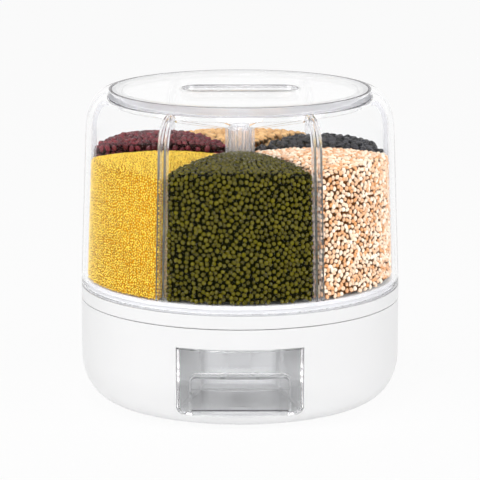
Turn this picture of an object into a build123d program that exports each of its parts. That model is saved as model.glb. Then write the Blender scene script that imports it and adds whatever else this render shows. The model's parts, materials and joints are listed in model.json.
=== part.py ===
from build123d import *
import math
import os

# Grain dispenser: six clear compartments turn on a white base, and the front one empties into a cup.
# Millimetres, +Z up, the front faces -Y, and the origin is on the table under the middle.

# Overall form
body_diameter = 250.0        # base, turntable rim and foot of the barrel
foot_height = 2.0            # rubber feet below the base shell
shell_height = 78.3          # base shell, from its underside up to the turning seam
shell_corner_width = 23.0    # rounded bottom corner of the base shell
shell_corner_height = 33.7
shell_wall = 3.0
rim_height = 11.1            # white turntable rim above the seam
barrel_height = 152.3        # clear barrel above the rim
barrel_draft = 4.4           # radius lost from the barrel's foot to its shoulder
barrel_wall = 4.5
shoulder_width = 19.1        # rounded shoulder, from the wall in to the mouth
shoulder_height = 33.0

# Clearances
turning_gap = 0.6            # seam between the base shell and the turntable
fit_gap = 0.3                # pieces that slip together
slide_gap = 0.2              # flat faces that slide on each other
running_gap = 0.05           # spindle in its bush, and balls in their track
seat_gap = 0.02              # pieces pressed or screwed home
deck_gap = 0.4               # turntable floor above the fixed deck
edge_break = 0.6             # small chamfers on moulded edges

# Turntable and its floor
compartments = 6
floor_rise = 5.6             # compartment floor above the barrel's foot
floor_thickness = 3.0
rim_wall = 3.0
outlet_land = 10.6           # floor beside an outlet, at its inner end
bead_height = 1.6            # snap bead that holds the barrel
bead_depth = 0.7

# Spindle, bush and ball race
spindle_radius = 5.0
spindle_head_radius = 8.0
spindle_head_height = 2.0
bush_wall = 1.2
bush_flange_radius = 9.5
bush_flange_height = 1.6
hub_wall = 2.0
hub_height = 14.4            # hub above the compartment floor
washer_thickness = 1.2
spindle_screw_length = 14.0
ball_diameter = 5.9
ball_count = 18
ball_cage_width = 8.0        # wider than a ball, so that its pockets are closed
ball_cage_height = 2.4

# Outlet deck
deck_thickness = 3.0
track_width = 10.0           # ledge round the deck's raised middle that the balls run on
deck_margin = 3.2            # deck wall inside the turntable's step
deck_flange_thickness = 3.0
deck_flange_drop = 1.8       # deck flange below the shell's top edge
boss_radius = 12.0           # spindle boss under the deck
boss_height = 21.0
seal_width = 3.0
seal_groove = 1.2
seal_clear = 0.15            # seal to the turning floor
seal_land = 1.0              # deck between the outlet and its seal

# Cup opening, cup and its bay
opening_width = 96.5
bay_floor_gap = 1.3          # bay floor above the ledge in the shell
lintel_height = 15.2         # white band from the opening up to the seam
opening_corner = 6.0
bay_wall = 2.0
bay_headroom = 0.9           # bay ceiling above the opening's top edge
bay_foot_radius = 4.0
bay_rear_gap = 2.0           # bay's back wall behind the pressed arm
arm_slot_gap = 1.5           # slot in the bay's ceiling round the arm
cup_side_gap = 0.85
cup_top_gap = 1.6
cup_inset = 0.6              # cup front behind the shell's surface
cup_wall = 2.0
cup_floor = 2.7
cup_back_width = 62.0
cup_straight = 17.0          # straight sides behind the cup's front, before they taper
cup_corner = 8.0
pull_width = 73.0            # finger pull in the cup's front
pull_rise = 32.1             # top of the pull above the cup's underside
pull_lip = 10.6              # height of the lip that the fingers hook behind
pull_depth = 14.0
pull_corner = 4.0

# Gate under the outlet
gate_overlap = 1.0           # gate travel beyond the outlet's length
gate_thickness = 3.0
gate_side_land = 8.0         # gate beyond its port on each side
gate_end = 5.0               # solid end beyond the gate's port
gate_front_gap = 6.0         # gate's front edge to the wall round it
gate_corner_gap = 2.0        # gate's rounded front corners to that wall
gate_tail = 3.7              # gate behind its arm
boss_gap = 3.0               # gate to the spindle boss when pressed home
arm_gap = 7.5                # chute to the gate's arm
gate_arm_width = 18.0
gate_arm_thickness = 4.0
gate_arm_rise = 18.2         # lower end of the arm above the cup's underside
rail_wall = 3.0
rail_lip = 3.3               # rail lip under the gate's edge
rail_lip_thickness = 2.5
chute_margin = 1.5           # chute bore beyond the outlet on each side
chute_wall = 2.0
chute_flange = 5.0
spring_radius = 3.4          # middle of the wire
spring_wire = 0.8
spring_turns = 9
spring_stop = 4.0            # fixed stop behind the spindle's axis
spring_stop_thickness = 3.0
lug_width = 9.0
lug_drop = 13.0              # gate lugs and stops below the gate's underside
peg_radius = 2.2
peg_length = 6.0

# Partitions and column
panel_thickness = 2.4
rib_width = 2.05             # guide ribs, one on each side of a panel
rib_depth = 4.0
rib_root = 1.5               # ribs sunk into the barrel's wall, to join it
column_wall = 1.7
column_rib_depth = 1.6
column_drop = 29.8           # top of the tube below the lid's surface
column_neck_radius = 7.6
column_neck_height = 5.0
panel_gap = 1.2              # panel's top edge below the lid's plug
panel_slope = 17.0           # fall of that edge from the mouth to the column

# Lid
lid_edge_height = 4.0        # lid edge, from its seat to the top
lid_thickness = 3.0
lid_seat_width = 5.0         # ledge in the mouth that the lid rests on
lid_seat_thickness = 3.5
lid_gap = 0.4
plug_height = 9.3            # plug ring below the lid plate
plug_wall = 2.5
plug_gap = 1.4
lid_seal_height = 2.6
lid_seal_depth = 1.2         # groove in the plug for the seal
grip_length = 90.0
grip_width = 36.0
grip_depth = 7.5
grip_corner = 14.0
grip_wall = 2.5
grip_draft = 10.0            # degrees
ridge_width = 7.0
ridge_drop = 1.6             # top of the pinch ridge below the lid's surface

# Grain fills, from the front compartment round to the left, each with its heap's depth below the lid
grain_drops = {
    "grain_mung": 42.8,
    "grain_millet": 47.3,
    "grain_adzuki": 41.8,
    "grain_soy": 43.8,
    "grain_black_bean": 45.3,
    "grain_barley": 44.3,
}
grain_gap = 0.6              # fill to the barrel's wall
heap_radius = 330.0          # roundness of a heap's top

# Base closure
plate_thickness = 3.0
plate_rebate = 10.0          # ledge in the shell that the bottom plate is screwed to
plate_recess = 0.2           # plate above the shell's underside
foot_radius = 8.0
foot_margin = 1.0            # feet inside the ledge of the shell
foot_angles = (45, 135, 225, 315)
screw_radius = 1.5
screw_head_radius = 3.0
screw_head_height = 1.7
screw_depth = 8.0            # screw in its boss
screw_slot_width = 0.8
screw_slot_half = 1.8        # half the length of each arm of the cross slot
screw_slot_depth = 0.8
screw_boss_radius = 5.0
deck_boss_height = 20.0
deck_screw_angles = (225, 315, 350, 55, 125, 190)
plate_screw_angles = (25, 155, 205, 335)

# Levels and radii that follow from the sizes above
body_radius = body_diameter / 2
z_shell = foot_height
z_seam = z_shell + shell_height
z_rim = z_seam + turning_gap
z_ledge = z_rim + rim_height
z_top = z_ledge + barrel_height
z_floor = z_ledge + floor_rise
z_floor_under = z_floor - floor_thickness
z_deck = z_floor_under - deck_gap
z_deck_under = z_deck - deck_thickness
z_ball = z_floor_under - running_gap - ball_diameter / 2
z_track = z_ball - ball_diameter / 2 - running_gap
z_gate_top = z_deck_under - slide_gap
z_gate = z_gate_top - gate_thickness
z_plate = z_shell + plate_recess
z_plate_top = z_plate + plate_thickness
z_rebate_top = z_plate_top + shell_wall
z_bay_floor = z_rebate_top + bay_floor_gap
z_sill = z_bay_floor + bay_wall
z_lintel = z_seam - lintel_height
z_bay_ceiling = z_lintel + bay_headroom
z_bay_top = z_bay_ceiling + bay_wall
z_cup = z_sill + fit_gap
z_cup_top = z_lintel - cup_top_gap
z_pull = z_cup + pull_rise
z_deck_flange = z_seam - deck_flange_drop
z_shoulder = z_top - shoulder_height
z_lid_seat = z_top - lid_edge_height
z_lid_under = z_top - lid_thickness
z_column = z_top - column_drop
z_panel = z_lid_under - plug_height - panel_gap
z_lid_seal = z_lid_seat - (lid_seat_thickness + lid_seal_height) / 2

shoulder_radius = body_radius - barrel_draft
mouth_center = shoulder_radius - shoulder_width
mouth_radius = mouth_center - edge_break
seat_radius = mouth_radius - lid_seat_width
lid_radius = mouth_radius - lid_gap
plug_radius = seat_radius - plug_gap
floor_radius = body_radius - barrel_wall - fit_gap
ledge_radius = floor_radius - rim_wall - deck_margin
plateau_radius = ledge_radius - track_width
track_radius = plateau_radius + fit_gap + ball_cage_width / 2
shell_inner = body_radius - shell_wall
corner_radius = body_radius - shell_corner_width
corner_height = z_shell + shell_corner_height
plate_hole = corner_radius - shell_wall - plate_rebate
plate_radius = corner_radius - shell_wall - fit_gap
bush_radius = spindle_radius + running_gap + bush_wall
hub_radius = bush_radius + seat_gap + hub_wall
column_radius = hub_radius + fit_gap + column_wall
full_turn = 360.0
quarter_turn = full_turn / 4
front_angle = 3 * quarter_turn
sector_angle = full_turn / compartments
slot_half = panel_thickness / 2 + fit_gap / 2
cup_half = opening_width / 2 - cup_side_gap
foot_circle = plate_hole - foot_margin - foot_radius
column_reach = math.hypot(column_radius + column_rib_depth, slot_half + rib_width)
heap_center = (column_reach + floor_radius) / 2

# The gate's two travels and the outlet share the room between the spindle boss and the deck's wall
gate_reach = plateau_radius - rim_wall - gate_front_gap
arm_space = fit_gap + gate_arm_thickness + gate_tail
chute_space = arm_gap + chute_wall + chute_margin
fixed_room = boss_radius + boss_gap + arm_space + chute_space + gate_end + 2 * gate_overlap
outlet_length = (gate_reach - fixed_room) / 3
gate_travel = outlet_length + gate_overlap
gate_rear = boss_radius + boss_gap + gate_travel
cup_back = gate_rear + arm_space
outlet_inner = cup_back + chute_space
outlet_y = -outlet_inner - outlet_length / 2
outlet_width = 2 * (outlet_inner * math.tan(math.radians(sector_angle / 2)) - outlet_land)
gate_half_width = outlet_width / 2 + gate_side_land
lug_x = gate_half_width - rail_lip - slide_gap - lug_width / 2

cup_taper = cup_half - cup_back_width / 2
cup_taper_start = body_radius - cup_straight
screw_circle = (plate_hole + plate_radius) / 2
deck_screw_circle = (ledge_radius + shell_inner) / 2
z_spring = z_gate - lug_drop / 2


def box(x0, x1, y0, y1, z0, z1):
    """A block between two corners."""
    block = Box(x1 - x0, y1 - y0, z1 - z0)
    return Pos((x0 + x1) / 2, (y0 + y1) / 2, (z0 + z1) / 2) * block


def disc(radius, z0, z1, x=0.0, y=0.0):
    """An upright cylinder between two levels."""
    return Pos(x, y, (z0 + z1) / 2) * Cylinder(radius, z1 - z0)


def ring(*points):
    """A closed outline of (radius, height) points turned about the spindle's axis."""
    return revolve(make_face(Plane.XZ * Polyline(*points, close=True)), Axis.Z)


def around(radius, angle):
    """The x and y of a point on a circle about the spindle's axis."""
    turn = math.radians(angle)
    return radius * math.cos(turn), radius * math.sin(turn)


def shell_form(inset, bottom, top):
    """The base's round outer form, drawn in by an inset, between two levels."""
    width = shell_corner_width - inset
    height = shell_corner_height - inset
    low = corner_height - height
    center = (corner_radius, corner_height)
    outline = Line((0, low), (corner_radius, low))
    outline += EllipticalCenterArc(center, width, height, start_angle=-quarter_turn, arc_size=quarter_turn)
    outline += Polyline(
        (corner_radius + width, corner_height), (corner_radius + width, top), (0, top), (0, low),
    )
    form = revolve(make_face(Plane.XZ * outline), Axis.Z)
    return form & disc(body_diameter, bottom, top)


def screw(z_head, length, head_up):
    """A pan head screw on the Z axis, with a cross slot, its head seated at z_head."""
    side = 1 if head_up else -1
    head_end = z_head + side * screw_head_height
    slot_end = head_end - side * screw_slot_depth
    body = disc(screw_head_radius, min(z_head, head_end), max(z_head, head_end))
    tip = z_head - side * length
    body += disc(screw_radius, min(z_head, tip), max(z_head, tip))
    arm, narrow = screw_slot_half, screw_slot_width / 2
    for half_x, half_y in ((arm, narrow), (narrow, arm)):
        low, high = min(slot_end, head_end), max(slot_end, head_end)
        body -= box(-half_x, half_x, -half_y, half_y, low, high)
    return body


def save(shape, node):
    """Write one node's solids."""
    export_step(shape, f"parts/{node}.step")


def group(shapes):
    """Several separate solids that share one node."""
    return Compound(children=[solid for shape in shapes for solid in shape.solids()])


# Base shell and what closes it
def front_block(half, low, high, corner):
    """A block that runs out to the front, square at the top and rounded at the lower corners."""
    outline = Polyline((-half, high), (-half, low), (half, low), (half, high), close=True)
    face = make_face(Plane.XZ * outline)
    lower = face.vertices().group_by(Axis.Z)[0]
    return extrude(fillet(lower, corner), amount=body_diameter, dir=(0, -1, 0))


def deck_boss_places():
    return [around(deck_screw_circle, angle) for angle in deck_screw_angles]


def plate_screw_places():
    return [around(screw_circle, angle) for angle in plate_screw_angles]


def bay_foot_places():
    """Middles of the posts under the bay, inside the hole in the shell's floor."""
    reach = plate_hole - 2 * bay_foot_radius
    front_x = cup_back_width / 2
    front_y = -math.sqrt(reach**2 - front_x**2)
    rear_x = front_x - 2 * bay_foot_radius
    rear_y = -cup_back + 2 * bay_foot_radius
    return [(side * x, y) for x, y in ((front_x, front_y), (rear_x, rear_y)) for side in (-1, 1)]


def make_base_shell():
    shell = shell_form(0, z_shell, z_seam)
    shell -= shell_form(shell_wall, z_rebate_top, z_seam)
    shell -= disc(plate_hole, 0, z_rebate_top)
    shell -= disc(plate_radius + fit_gap, 0, z_plate_top)
    inside = shell_form(shell_wall / 2, z_shell, z_seam)
    boss_top = z_deck_flange - deck_flange_thickness
    for x, y in deck_boss_places():
        shell += disc(screw_boss_radius, boss_top - deck_boss_height, boss_top, x, y) & inside
    for x, y in deck_boss_places():
        shell -= disc(screw_radius + seat_gap, boss_top - screw_depth - edge_break, boss_top, x, y)
    for x, y in plate_screw_places():
        shell += disc(screw_boss_radius, z_plate_top, z_plate_top + screw_depth + shell_wall, x, y)
    for x, y in plate_screw_places():
        shell -= disc(screw_radius + seat_gap, z_plate_top, z_plate_top + screw_depth + edge_break, x, y)
    shell -= front_block(opening_width / 2, z_sill, z_lintel, opening_corner)
    return shell - ring(
        (body_radius, z_seam), (body_radius, z_seam - edge_break), (body_radius - edge_break, z_seam),
    )


def make_bottom_plate():
    plate = disc(plate_radius, z_plate, z_plate_top)
    for x, y in plate_screw_places() + bay_foot_places():
        plate -= disc(screw_radius + seat_gap, z_plate, z_plate_top, x, y)
        plate -= disc(screw_head_radius + fit_gap, z_plate, z_plate + screw_head_height, x, y)
    return plate


def make_rubber_feet():
    feet = []
    for angle in foot_angles:
        x, y = around(foot_circle, angle)
        foot = disc(foot_radius, 0, z_plate, x, y)
        foot = chamfer(foot.edges().group_by(Axis.Z)[0], edge_break)
        feet.append(foot)
    return group(feet)


def make_bottom_screws():
    z_head = z_plate + screw_head_height
    length = z_plate_top - z_head + screw_depth
    bay_length = z_plate_top - z_head + (z_bay_floor - z_plate_top)
    screws = [Pos(x, y, 0) * screw(z_head, length, False) for x, y in plate_screw_places()]
    screws += [Pos(x, y, 0) * screw(z_head, bay_length, False) for x, y in bay_foot_places()]
    return group(screws)


def make_deck_screws():
    length = deck_flange_thickness + screw_depth
    return group([Pos(x, y, 0) * screw(z_deck_flange, length, True) for x, y in deck_boss_places()])


# Cup bay, cup and chute
def bay_plan(grow):
    """Plan of the bay: the cup's taper carried back by the gate's travel, then widened by grow."""
    half = opening_width / 2 + grow
    start = -(cup_taper_start - gate_travel)
    back = -cup_back + gate_travel + fit_gap + gate_arm_thickness + bay_rear_gap + grow
    slope = cup_taper / (cup_taper_start - cup_back)
    back_half = half - slope * (back - start)
    front = -body_diameter
    outline = Polyline(
        (-half, front), (half, front), (half, start), (back_half, back),
        (-back_half, back), (-half, start), close=True,
    )
    face = make_face(outline)
    return fillet(face.vertices().group_by(Axis.Y)[-1], cup_corner)


def chute_block(grow, z0, z1):
    half_x = outlet_width / 2 + chute_margin + grow
    half_y = outlet_length / 2 + chute_margin + grow
    return box(-half_x, half_x, outlet_y - half_y, outlet_y + half_y, z0, z1)


def arm_slot():
    """Slot in the bay's ceiling that the gate's arm travels in."""
    half = gate_arm_width / 2 + arm_slot_gap
    front = -cup_back + fit_gap - arm_slot_gap
    back = -cup_back + fit_gap + gate_arm_thickness + gate_travel + arm_slot_gap
    return box(-half, half, front, back, z_bay_ceiling, z_bay_top)


def make_cup_bay():
    bay = Pos(0, 0, z_bay_floor) * extrude(bay_plan(bay_wall), amount=z_bay_top - z_bay_floor)
    bay -= Pos(0, 0, z_sill) * extrude(bay_plan(0), amount=z_bay_ceiling - z_sill)
    bay &= shell_form(shell_wall + fit_gap, z_bay_floor, z_bay_top)
    bay -= chute_block(chute_wall + fit_gap, z_bay_ceiling, z_bay_top)
    bay -= arm_slot()
    for x, y in bay_foot_places():
        bay += disc(bay_foot_radius, z_plate_top, z_bay_floor, x, y)
    for x, y in bay_foot_places():
        bay -= disc(screw_radius + seat_gap, z_plate_top, z_bay_floor + edge_break, x, y)
    return bay


def make_outlet_chute():
    top = z_gate - 2 * slide_gap
    chute = chute_block(chute_wall, z_bay_ceiling, top)
    chute += chute_block(chute_wall + chute_flange, z_bay_top, z_bay_top + chute_wall)
    return chute - chute_block(0, z_bay_ceiling, top)


def cup_plan(inset):
    half = cup_half - inset
    back_half = cup_back_width / 2 - inset
    start = -cup_taper_start
    back = -cup_back - inset
    front = -body_diameter
    outline = Polyline(
        (-half, front), (half, front), (half, start), (back_half, back),
        (-back_half, back), (-half, start), close=True,
    )
    face = make_face(outline)
    return fillet(face.vertices().group_by(Axis.Y)[-1], cup_corner - inset)


def pull_block(grow, z0, z1, back):
    """A block of the finger pull, rounded where its sides meet its top."""
    half = pull_width / 2 + grow
    outline = Polyline((-half, z0), (half, z0), (half, z1), (-half, z1), close=True)
    face = make_face(Plane.XZ * outline)
    top = face.vertices().group_by(Axis.Z)[-1]
    front = extrude(fillet(top, pull_corner + grow), amount=body_diameter, dir=(0, -1, 0))
    return front & box(-body_radius, body_radius, -body_diameter, back, z0, z1)


def make_measuring_cup():
    front_form = shell_form(cup_inset, z_shell, z_seam)
    inner_form = shell_form(cup_inset + cup_wall, z_shell, z_seam)
    block = Pos(0, 0, z_cup) * extrude(cup_plan(0), amount=z_cup_top - z_cup)
    block &= front_form & front_block(cup_half, z_cup, z_cup_top, opening_corner)
    z_inside = z_cup + cup_floor
    hollow = Pos(0, 0, z_inside) * extrude(cup_plan(cup_wall), amount=z_cup_top - z_cup)
    hollow &= front_block(cup_half - cup_wall, z_inside, z_seam, opening_corner - cup_wall)
    pull_back = -body_radius + pull_depth
    housing = pull_block(cup_wall, z_cup, z_pull, pull_back + cup_wall)
    pocket = pull_block(0, z_inside, z_pull - cup_wall, pull_back)
    z_lip = z_pull - pull_lip
    lip_zone = box(-body_radius, body_radius, -body_diameter, 0, z_lip, z_pull)
    cup = block - (hollow & inner_form)
    cup += block & housing
    return cup - (pocket - (lip_zone - inner_form))


# Deck, gate and springs
def outlet_cut(grow, z0, z1):
    half_x = outlet_width / 2 + grow
    half_y = outlet_length / 2 + grow
    return box(-half_x, half_x, outlet_y - half_y, outlet_y + half_y, z0, z1)


def spring_stop_block(side):
    x0 = side * lug_x - lug_width / 2
    back = spring_stop + spring_stop_thickness
    stop = box(x0, x0 + lug_width, spring_stop, back, z_gate - lug_drop, z_deck_under)
    return stop + spring_peg(side, spring_stop, -1)


def spring_peg(side, face_y, direction):
    middle = face_y + direction * peg_length / 2
    return Pos(side * lug_x, middle, z_spring) * Rot(quarter_turn, 0, 0) * Cylinder(peg_radius, peg_length)


def gate_rail(side):
    """L-shaped rail under the deck that carries one edge of the gate."""
    inner = gate_half_width + slide_gap
    front = outlet_y - outlet_length / 2 - gate_travel - gate_end
    back = -gate_rear + gate_travel
    z_lip = z_gate - slide_gap
    wall = box(inner, inner + rail_wall, front, back, z_lip - rail_lip_thickness, z_deck_under)
    lip = box(inner - rail_lip, inner + rail_wall, front, back, z_lip - rail_lip_thickness, z_lip)
    rail = wall + lip
    return rail if side > 0 else mirror(rail, Plane.YZ)


def make_outlet_deck():
    plateau_inner = plateau_radius - rim_wall
    wall_inner = ledge_radius - rim_wall
    flange_low = z_deck_flange - deck_flange_thickness
    deck = ring(
        (0, z_deck_under), (plateau_inner, z_deck_under), (plateau_inner, z_track - rim_wall),
        (wall_inner, z_track - rim_wall), (wall_inner, flange_low), (shell_inner - fit_gap, flange_low),
        (shell_inner - fit_gap, z_deck_flange), (ledge_radius, z_deck_flange), (ledge_radius, z_track),
        (plateau_radius, z_track), (plateau_radius, z_deck), (0, z_deck),
    )
    deck += disc(boss_radius, z_deck_under - boss_height, z_deck_under)
    for side in (-1, 1):
        deck += gate_rail(side)
        deck += spring_stop_block(side)
    deck -= disc(bush_flange_radius + fit_gap, z_deck - bush_flange_height, z_deck)
    deck -= disc(spindle_radius + seat_gap, z_deck_under - boss_height, z_deck)
    deck -= outlet_cut(0, z_deck_under, z_deck)
    groove = outlet_cut(seal_land + seal_width, z_deck - seal_groove, z_deck)
    deck -= groove - outlet_cut(seal_land, z_deck - seal_groove, z_deck)
    for x, y in deck_boss_places():
        deck -= disc(screw_radius + seat_gap, flange_low, z_deck_flange, x, y)
    return deck


def make_outlet_seal():
    low = z_deck - seal_groove
    high = z_floor_under - seal_clear
    outer = outlet_cut(seal_land + seal_width - seat_gap, low, high)
    return outer - outlet_cut(seal_land + seat_gap, low, high)


def make_gate_slide():
    front = outlet_y - outlet_length / 2 - gate_travel - gate_end
    plate = box(-gate_half_width, gate_half_width, front, -gate_rear, z_gate, z_gate_top)
    plate &= disc(plateau_radius - rim_wall - gate_corner_gap, z_gate, z_gate_top)
    plate -= Pos(0, -gate_travel, 0) * outlet_cut(0, z_gate, z_gate_top)
    lug_front = -gate_rear - spring_stop_thickness
    for side in (-1, 1):
        x0 = side * lug_x - lug_width / 2
        plate += box(x0, x0 + lug_width, lug_front, -gate_rear, z_gate - lug_drop, z_gate_top)
        plate += spring_peg(side, -gate_rear, 1)
    arm_front = -cup_back + fit_gap
    half = gate_arm_width / 2
    arm = box(-half, half, arm_front, arm_front + gate_arm_thickness, z_cup + gate_arm_rise, z_gate_top)
    return plate + arm


def make_gate_spring(side):
    """Compression spring between the gate's lug and the deck's stop, wound along Y."""
    length = spring_stop + gate_rear - spring_wire - 2 * slide_gap
    start = Vector(side * lug_x, -gate_rear + spring_wire / 2 + slide_gap, z_spring)
    wire_path = Helix(length / spring_turns, length, spring_radius, center=start, direction=(0, 1, 0))
    section = Plane(origin=wire_path @ 0, z_dir=wire_path % 0) * Circle(spring_wire / 2)
    return sweep(section, path=wire_path, is_frenet=True)


# Spindle and ball race
def make_spindle():
    low = z_deck_under - boss_height
    top = z_floor + hub_height + deck_gap
    pin = disc(spindle_radius, low, top)
    pin += disc(spindle_head_radius, low - spindle_head_height, low)
    return pin - disc(screw_radius + seat_gap, top - spindle_screw_length - edge_break, top)


def make_spindle_washer():
    low = z_floor + hub_height + deck_gap
    washer = disc(hub_radius - fit_gap, low, low + washer_thickness)
    return washer - disc(screw_radius + seat_gap, low, low + washer_thickness)


def make_spindle_screw():
    seat = z_floor + hub_height + deck_gap + washer_thickness
    return screw(seat, spindle_screw_length + washer_thickness, True)


def make_spindle_bush():
    bore = spindle_radius + running_gap
    low = z_deck - bush_flange_height + deck_gap
    top = z_floor + hub_height
    return ring(
        (bore, low), (bush_flange_radius, low), (bush_flange_radius, z_floor_under),
        (bush_radius, z_floor_under), (bush_radius, top), (bore, top),
    )


def ball_places():
    return [around(track_radius, full_turn * index / ball_count) for index in range(ball_count)]


def make_bearing_balls():
    return group([Pos(x, y, z_ball) * Sphere(ball_diameter / 2) for x, y in ball_places()])


def make_ball_cage():
    inner = track_radius - ball_cage_width / 2
    outer = track_radius + ball_cage_width / 2
    low = z_ball - ball_cage_height / 2
    cage = disc(outer, low, low + ball_cage_height) - disc(inner, low, low + ball_cage_height)
    for x, y in ball_places():
        cage -= disc(ball_diameter / 2 + slide_gap, low, low + ball_cage_height, x, y)
    return cage


# Turntable, barrel, partitions and column
def make_turntable():
    step_under = z_ledge - rim_wall
    step_radius = floor_radius - rim_wall
    hub_top = z_floor + hub_height
    bead_middle = z_ledge + floor_rise / 2
    table = ring(
        (bush_radius + seat_gap, z_floor_under), (step_radius, z_floor_under), (step_radius, step_under),
        (body_radius - rim_wall, step_under), (body_radius - rim_wall, z_rim),
        (body_radius - edge_break, z_rim), (body_radius, z_rim + edge_break),
        (body_radius, z_ledge - edge_break), (body_radius - edge_break, z_ledge), (floor_radius, z_ledge),
        (floor_radius, bead_middle - bead_height / 2), (floor_radius + bead_depth, bead_middle),
        (floor_radius, bead_middle + bead_height / 2), (floor_radius, z_floor), (hub_radius, z_floor),
        (hub_radius, hub_top), (bush_radius + seat_gap, hub_top),
    )
    for index in range(compartments):
        table -= Rot(0, 0, index * sector_angle) * outlet_cut(0, z_floor_under, z_floor)
    return table


def wall_outline(inset):
    """Inside line of the barrel, drawn in by an inset: its foot, its end at the mouth and its edges."""
    foot = (body_radius - barrel_wall - inset, z_floor)
    width = shoulder_width - barrel_wall - inset
    height = shoulder_height - lid_edge_height - lid_seat_thickness - inset
    center = (mouth_center, z_shoulder)
    wall = Line(foot, (mouth_center + width, z_shoulder))
    arc = EllipticalCenterArc(center, width, height, start_angle=0, arc_size=quarter_turn)
    return foot, (mouth_center, z_shoulder + height), wall + arc


def make_barrel():
    foot, mouth, outline = wall_outline(0)
    bead_middle = z_ledge + floor_rise / 2
    groove = bead_height / 2 + fit_gap
    inner = foot[0]
    center = (mouth_center, z_shoulder)
    outline += Polyline(
        mouth, (seat_radius, mouth[1]), (seat_radius, z_lid_seat), (mouth_radius, z_lid_seat),
        (mouth_radius, z_top), (mouth_center, z_top),
    )
    outline += EllipticalCenterArc(
        center, shoulder_width, shoulder_height, start_angle=0, arc_size=quarter_turn
    )
    outline += Polyline(
        (shoulder_radius, z_shoulder), (body_radius, z_ledge + edge_break),
        (body_radius - edge_break, z_ledge), (inner, z_ledge), (inner, bead_middle - groove),
        (inner + bead_depth, bead_middle), (inner, bead_middle + groove), foot,
    )
    barrel = revolve(make_face(Plane.XZ * outline), Axis.Z)
    for index in range(compartments):
        for side in (-1, 1):
            barrel += Rot(0, 0, partition_angle(index)) * guide_rib(side, 0)
    return barrel


def partition_angle(index):
    """Direction of a partition, counted from +X, with compartment 0 in the middle of the front."""
    return front_angle - sector_angle / 2 - index * sector_angle


def guide_rib(side, grow):
    """One guide rib along the barrel's inside, in the X direction, grown by a clearance."""
    inner_foot, inner_mouth, inner = wall_outline(rib_depth + grow)
    outer_foot, outer_mouth, outer = wall_outline(-rib_root)
    low = z_floor + fit_gap - grow
    outline = inner + outer
    outline += Line(inner_mouth, outer_mouth)
    outline += Line(inner_foot, outer_foot)
    face = make_face(Plane.XZ * outline)
    rib = extrude(face, amount=rib_width + 2 * grow, dir=(0, 1, 0))
    rib &= box(0, body_diameter, -body_diameter, body_diameter, low, z_top)
    near = slot_half - grow
    return Pos(0, near if side > 0 else -near - rib_width - 2 * grow, 0) * rib


def make_partition(index):
    foot, mouth, outline = wall_outline(fit_gap)
    inner = column_radius + fit_gap
    edge_low = (seat_radius - fit_gap, z_panel)
    edge_in = (inner, z_panel - panel_slope)
    outline += Polyline(mouth, edge_low, edge_in, (inner, z_floor), foot)
    face = make_face(Plane.XZ * outline)
    panel = extrude(face, amount=panel_thickness, dir=(0, 1, 0))
    return Rot(0, 0, partition_angle(index)) * Pos(0, -panel_thickness / 2, 0) * panel


def make_center_column():
    bore = column_radius - column_wall
    neck_bore = column_neck_radius - column_wall
    tube = ring(
        (bore, z_floor), (column_radius, z_floor), (column_radius, z_column - edge_break),
        (column_radius - edge_break, z_column), (column_neck_radius, z_column),
        (column_neck_radius, z_column + column_neck_height), (neck_bore, z_column + column_neck_height),
        (neck_bore, z_column - column_wall), (bore, z_column - column_wall),
    )
    reach = column_radius + column_rib_depth
    panel_end = z_panel - panel_slope
    for index in range(compartments):
        for side in (-1, 1):
            near = slot_half if side > 0 else -slot_half - rib_width
            rib = box(bore + column_wall / 2, reach, near, near + rib_width, z_floor, panel_end)
            tube += Rot(0, 0, partition_angle(index)) * rib
    return tube


def make_grain(index, drop):
    """Fill of one compartment: a round wedge under a heaped top, clear of panels, ribs and column."""
    foot, mouth, outline = wall_outline(grain_gap)
    inner = column_reach + fit_gap
    outline += Polyline(mouth, (inner, mouth[1]), (inner, z_floor), foot)
    wedge = revolve(make_face(Plane.XZ * outline), Axis.Z, revolution_arc=sector_angle)
    wedge = Rot(0, 0, partition_angle(index)) * wedge
    wedge &= disc(body_diameter, z_floor + fit_gap, z_top)
    near = panel_thickness / 2 + fit_gap
    for edge in (index, index - 1):
        keep_out = box(0, body_diameter, -near, near, 0, z_top)
        for side in (-1, 1):
            keep_out += guide_rib(side, fit_gap)
        wedge -= Rot(0, 0, partition_angle(edge)) * keep_out
    x, y = around(heap_center, partition_angle(index) + sector_angle / 2)
    return wedge & Pos(x, y, z_top - drop - heap_radius) * Sphere(heap_radius)


# Lid
def grip_outline(grow):
    return RectangleRounded(grip_length + 2 * grow, grip_width + 2 * grow, grip_corner + grow)


def make_lid():
    seal_high = z_lid_seal + lid_seal_height
    plug_low = z_lid_under - plug_height
    plug_in = plug_radius - plug_wall
    groove = plug_radius - lid_seal_depth
    lid = ring(
        (0, z_lid_under), (plug_in, z_lid_under), (plug_in, plug_low), (plug_radius, plug_low),
        (plug_radius, z_lid_seal), (groove, z_lid_seal), (groove, seal_high), (plug_radius, seal_high),
        (plug_radius, z_lid_seat), (lid_radius, z_lid_seat), (lid_radius, z_top - edge_break),
        (lid_radius - edge_break, z_top), (0, z_top),
    )
    bowl = extrude(grip_outline(grip_wall), amount=-(grip_depth + grip_wall), taper=grip_draft)
    hollow = extrude(grip_outline(0), amount=-grip_depth, taper=grip_draft)
    half_x, half_y = grip_length / 2, ridge_width / 2
    ridge = box(-half_x, half_x, -half_y, half_y, -grip_depth, -ridge_drop)
    lid += Pos(0, 0, z_top) * bowl
    lid -= Pos(0, 0, z_top) * (hollow - ridge)
    return lid


def make_lid_seal():
    low = z_lid_seal + seat_gap
    high = low + lid_seal_height - 2 * seat_gap
    inner = plug_radius - lid_seal_depth + seat_gap
    outer = seat_radius - fit_gap
    middle = (low + high) / 2
    lip = (high - low) / 4
    return ring(
        (inner, low), (plug_radius, low), (outer, middle - lip), (outer, middle + lip),
        (plug_radius, high), (inner, high),
    )


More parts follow.
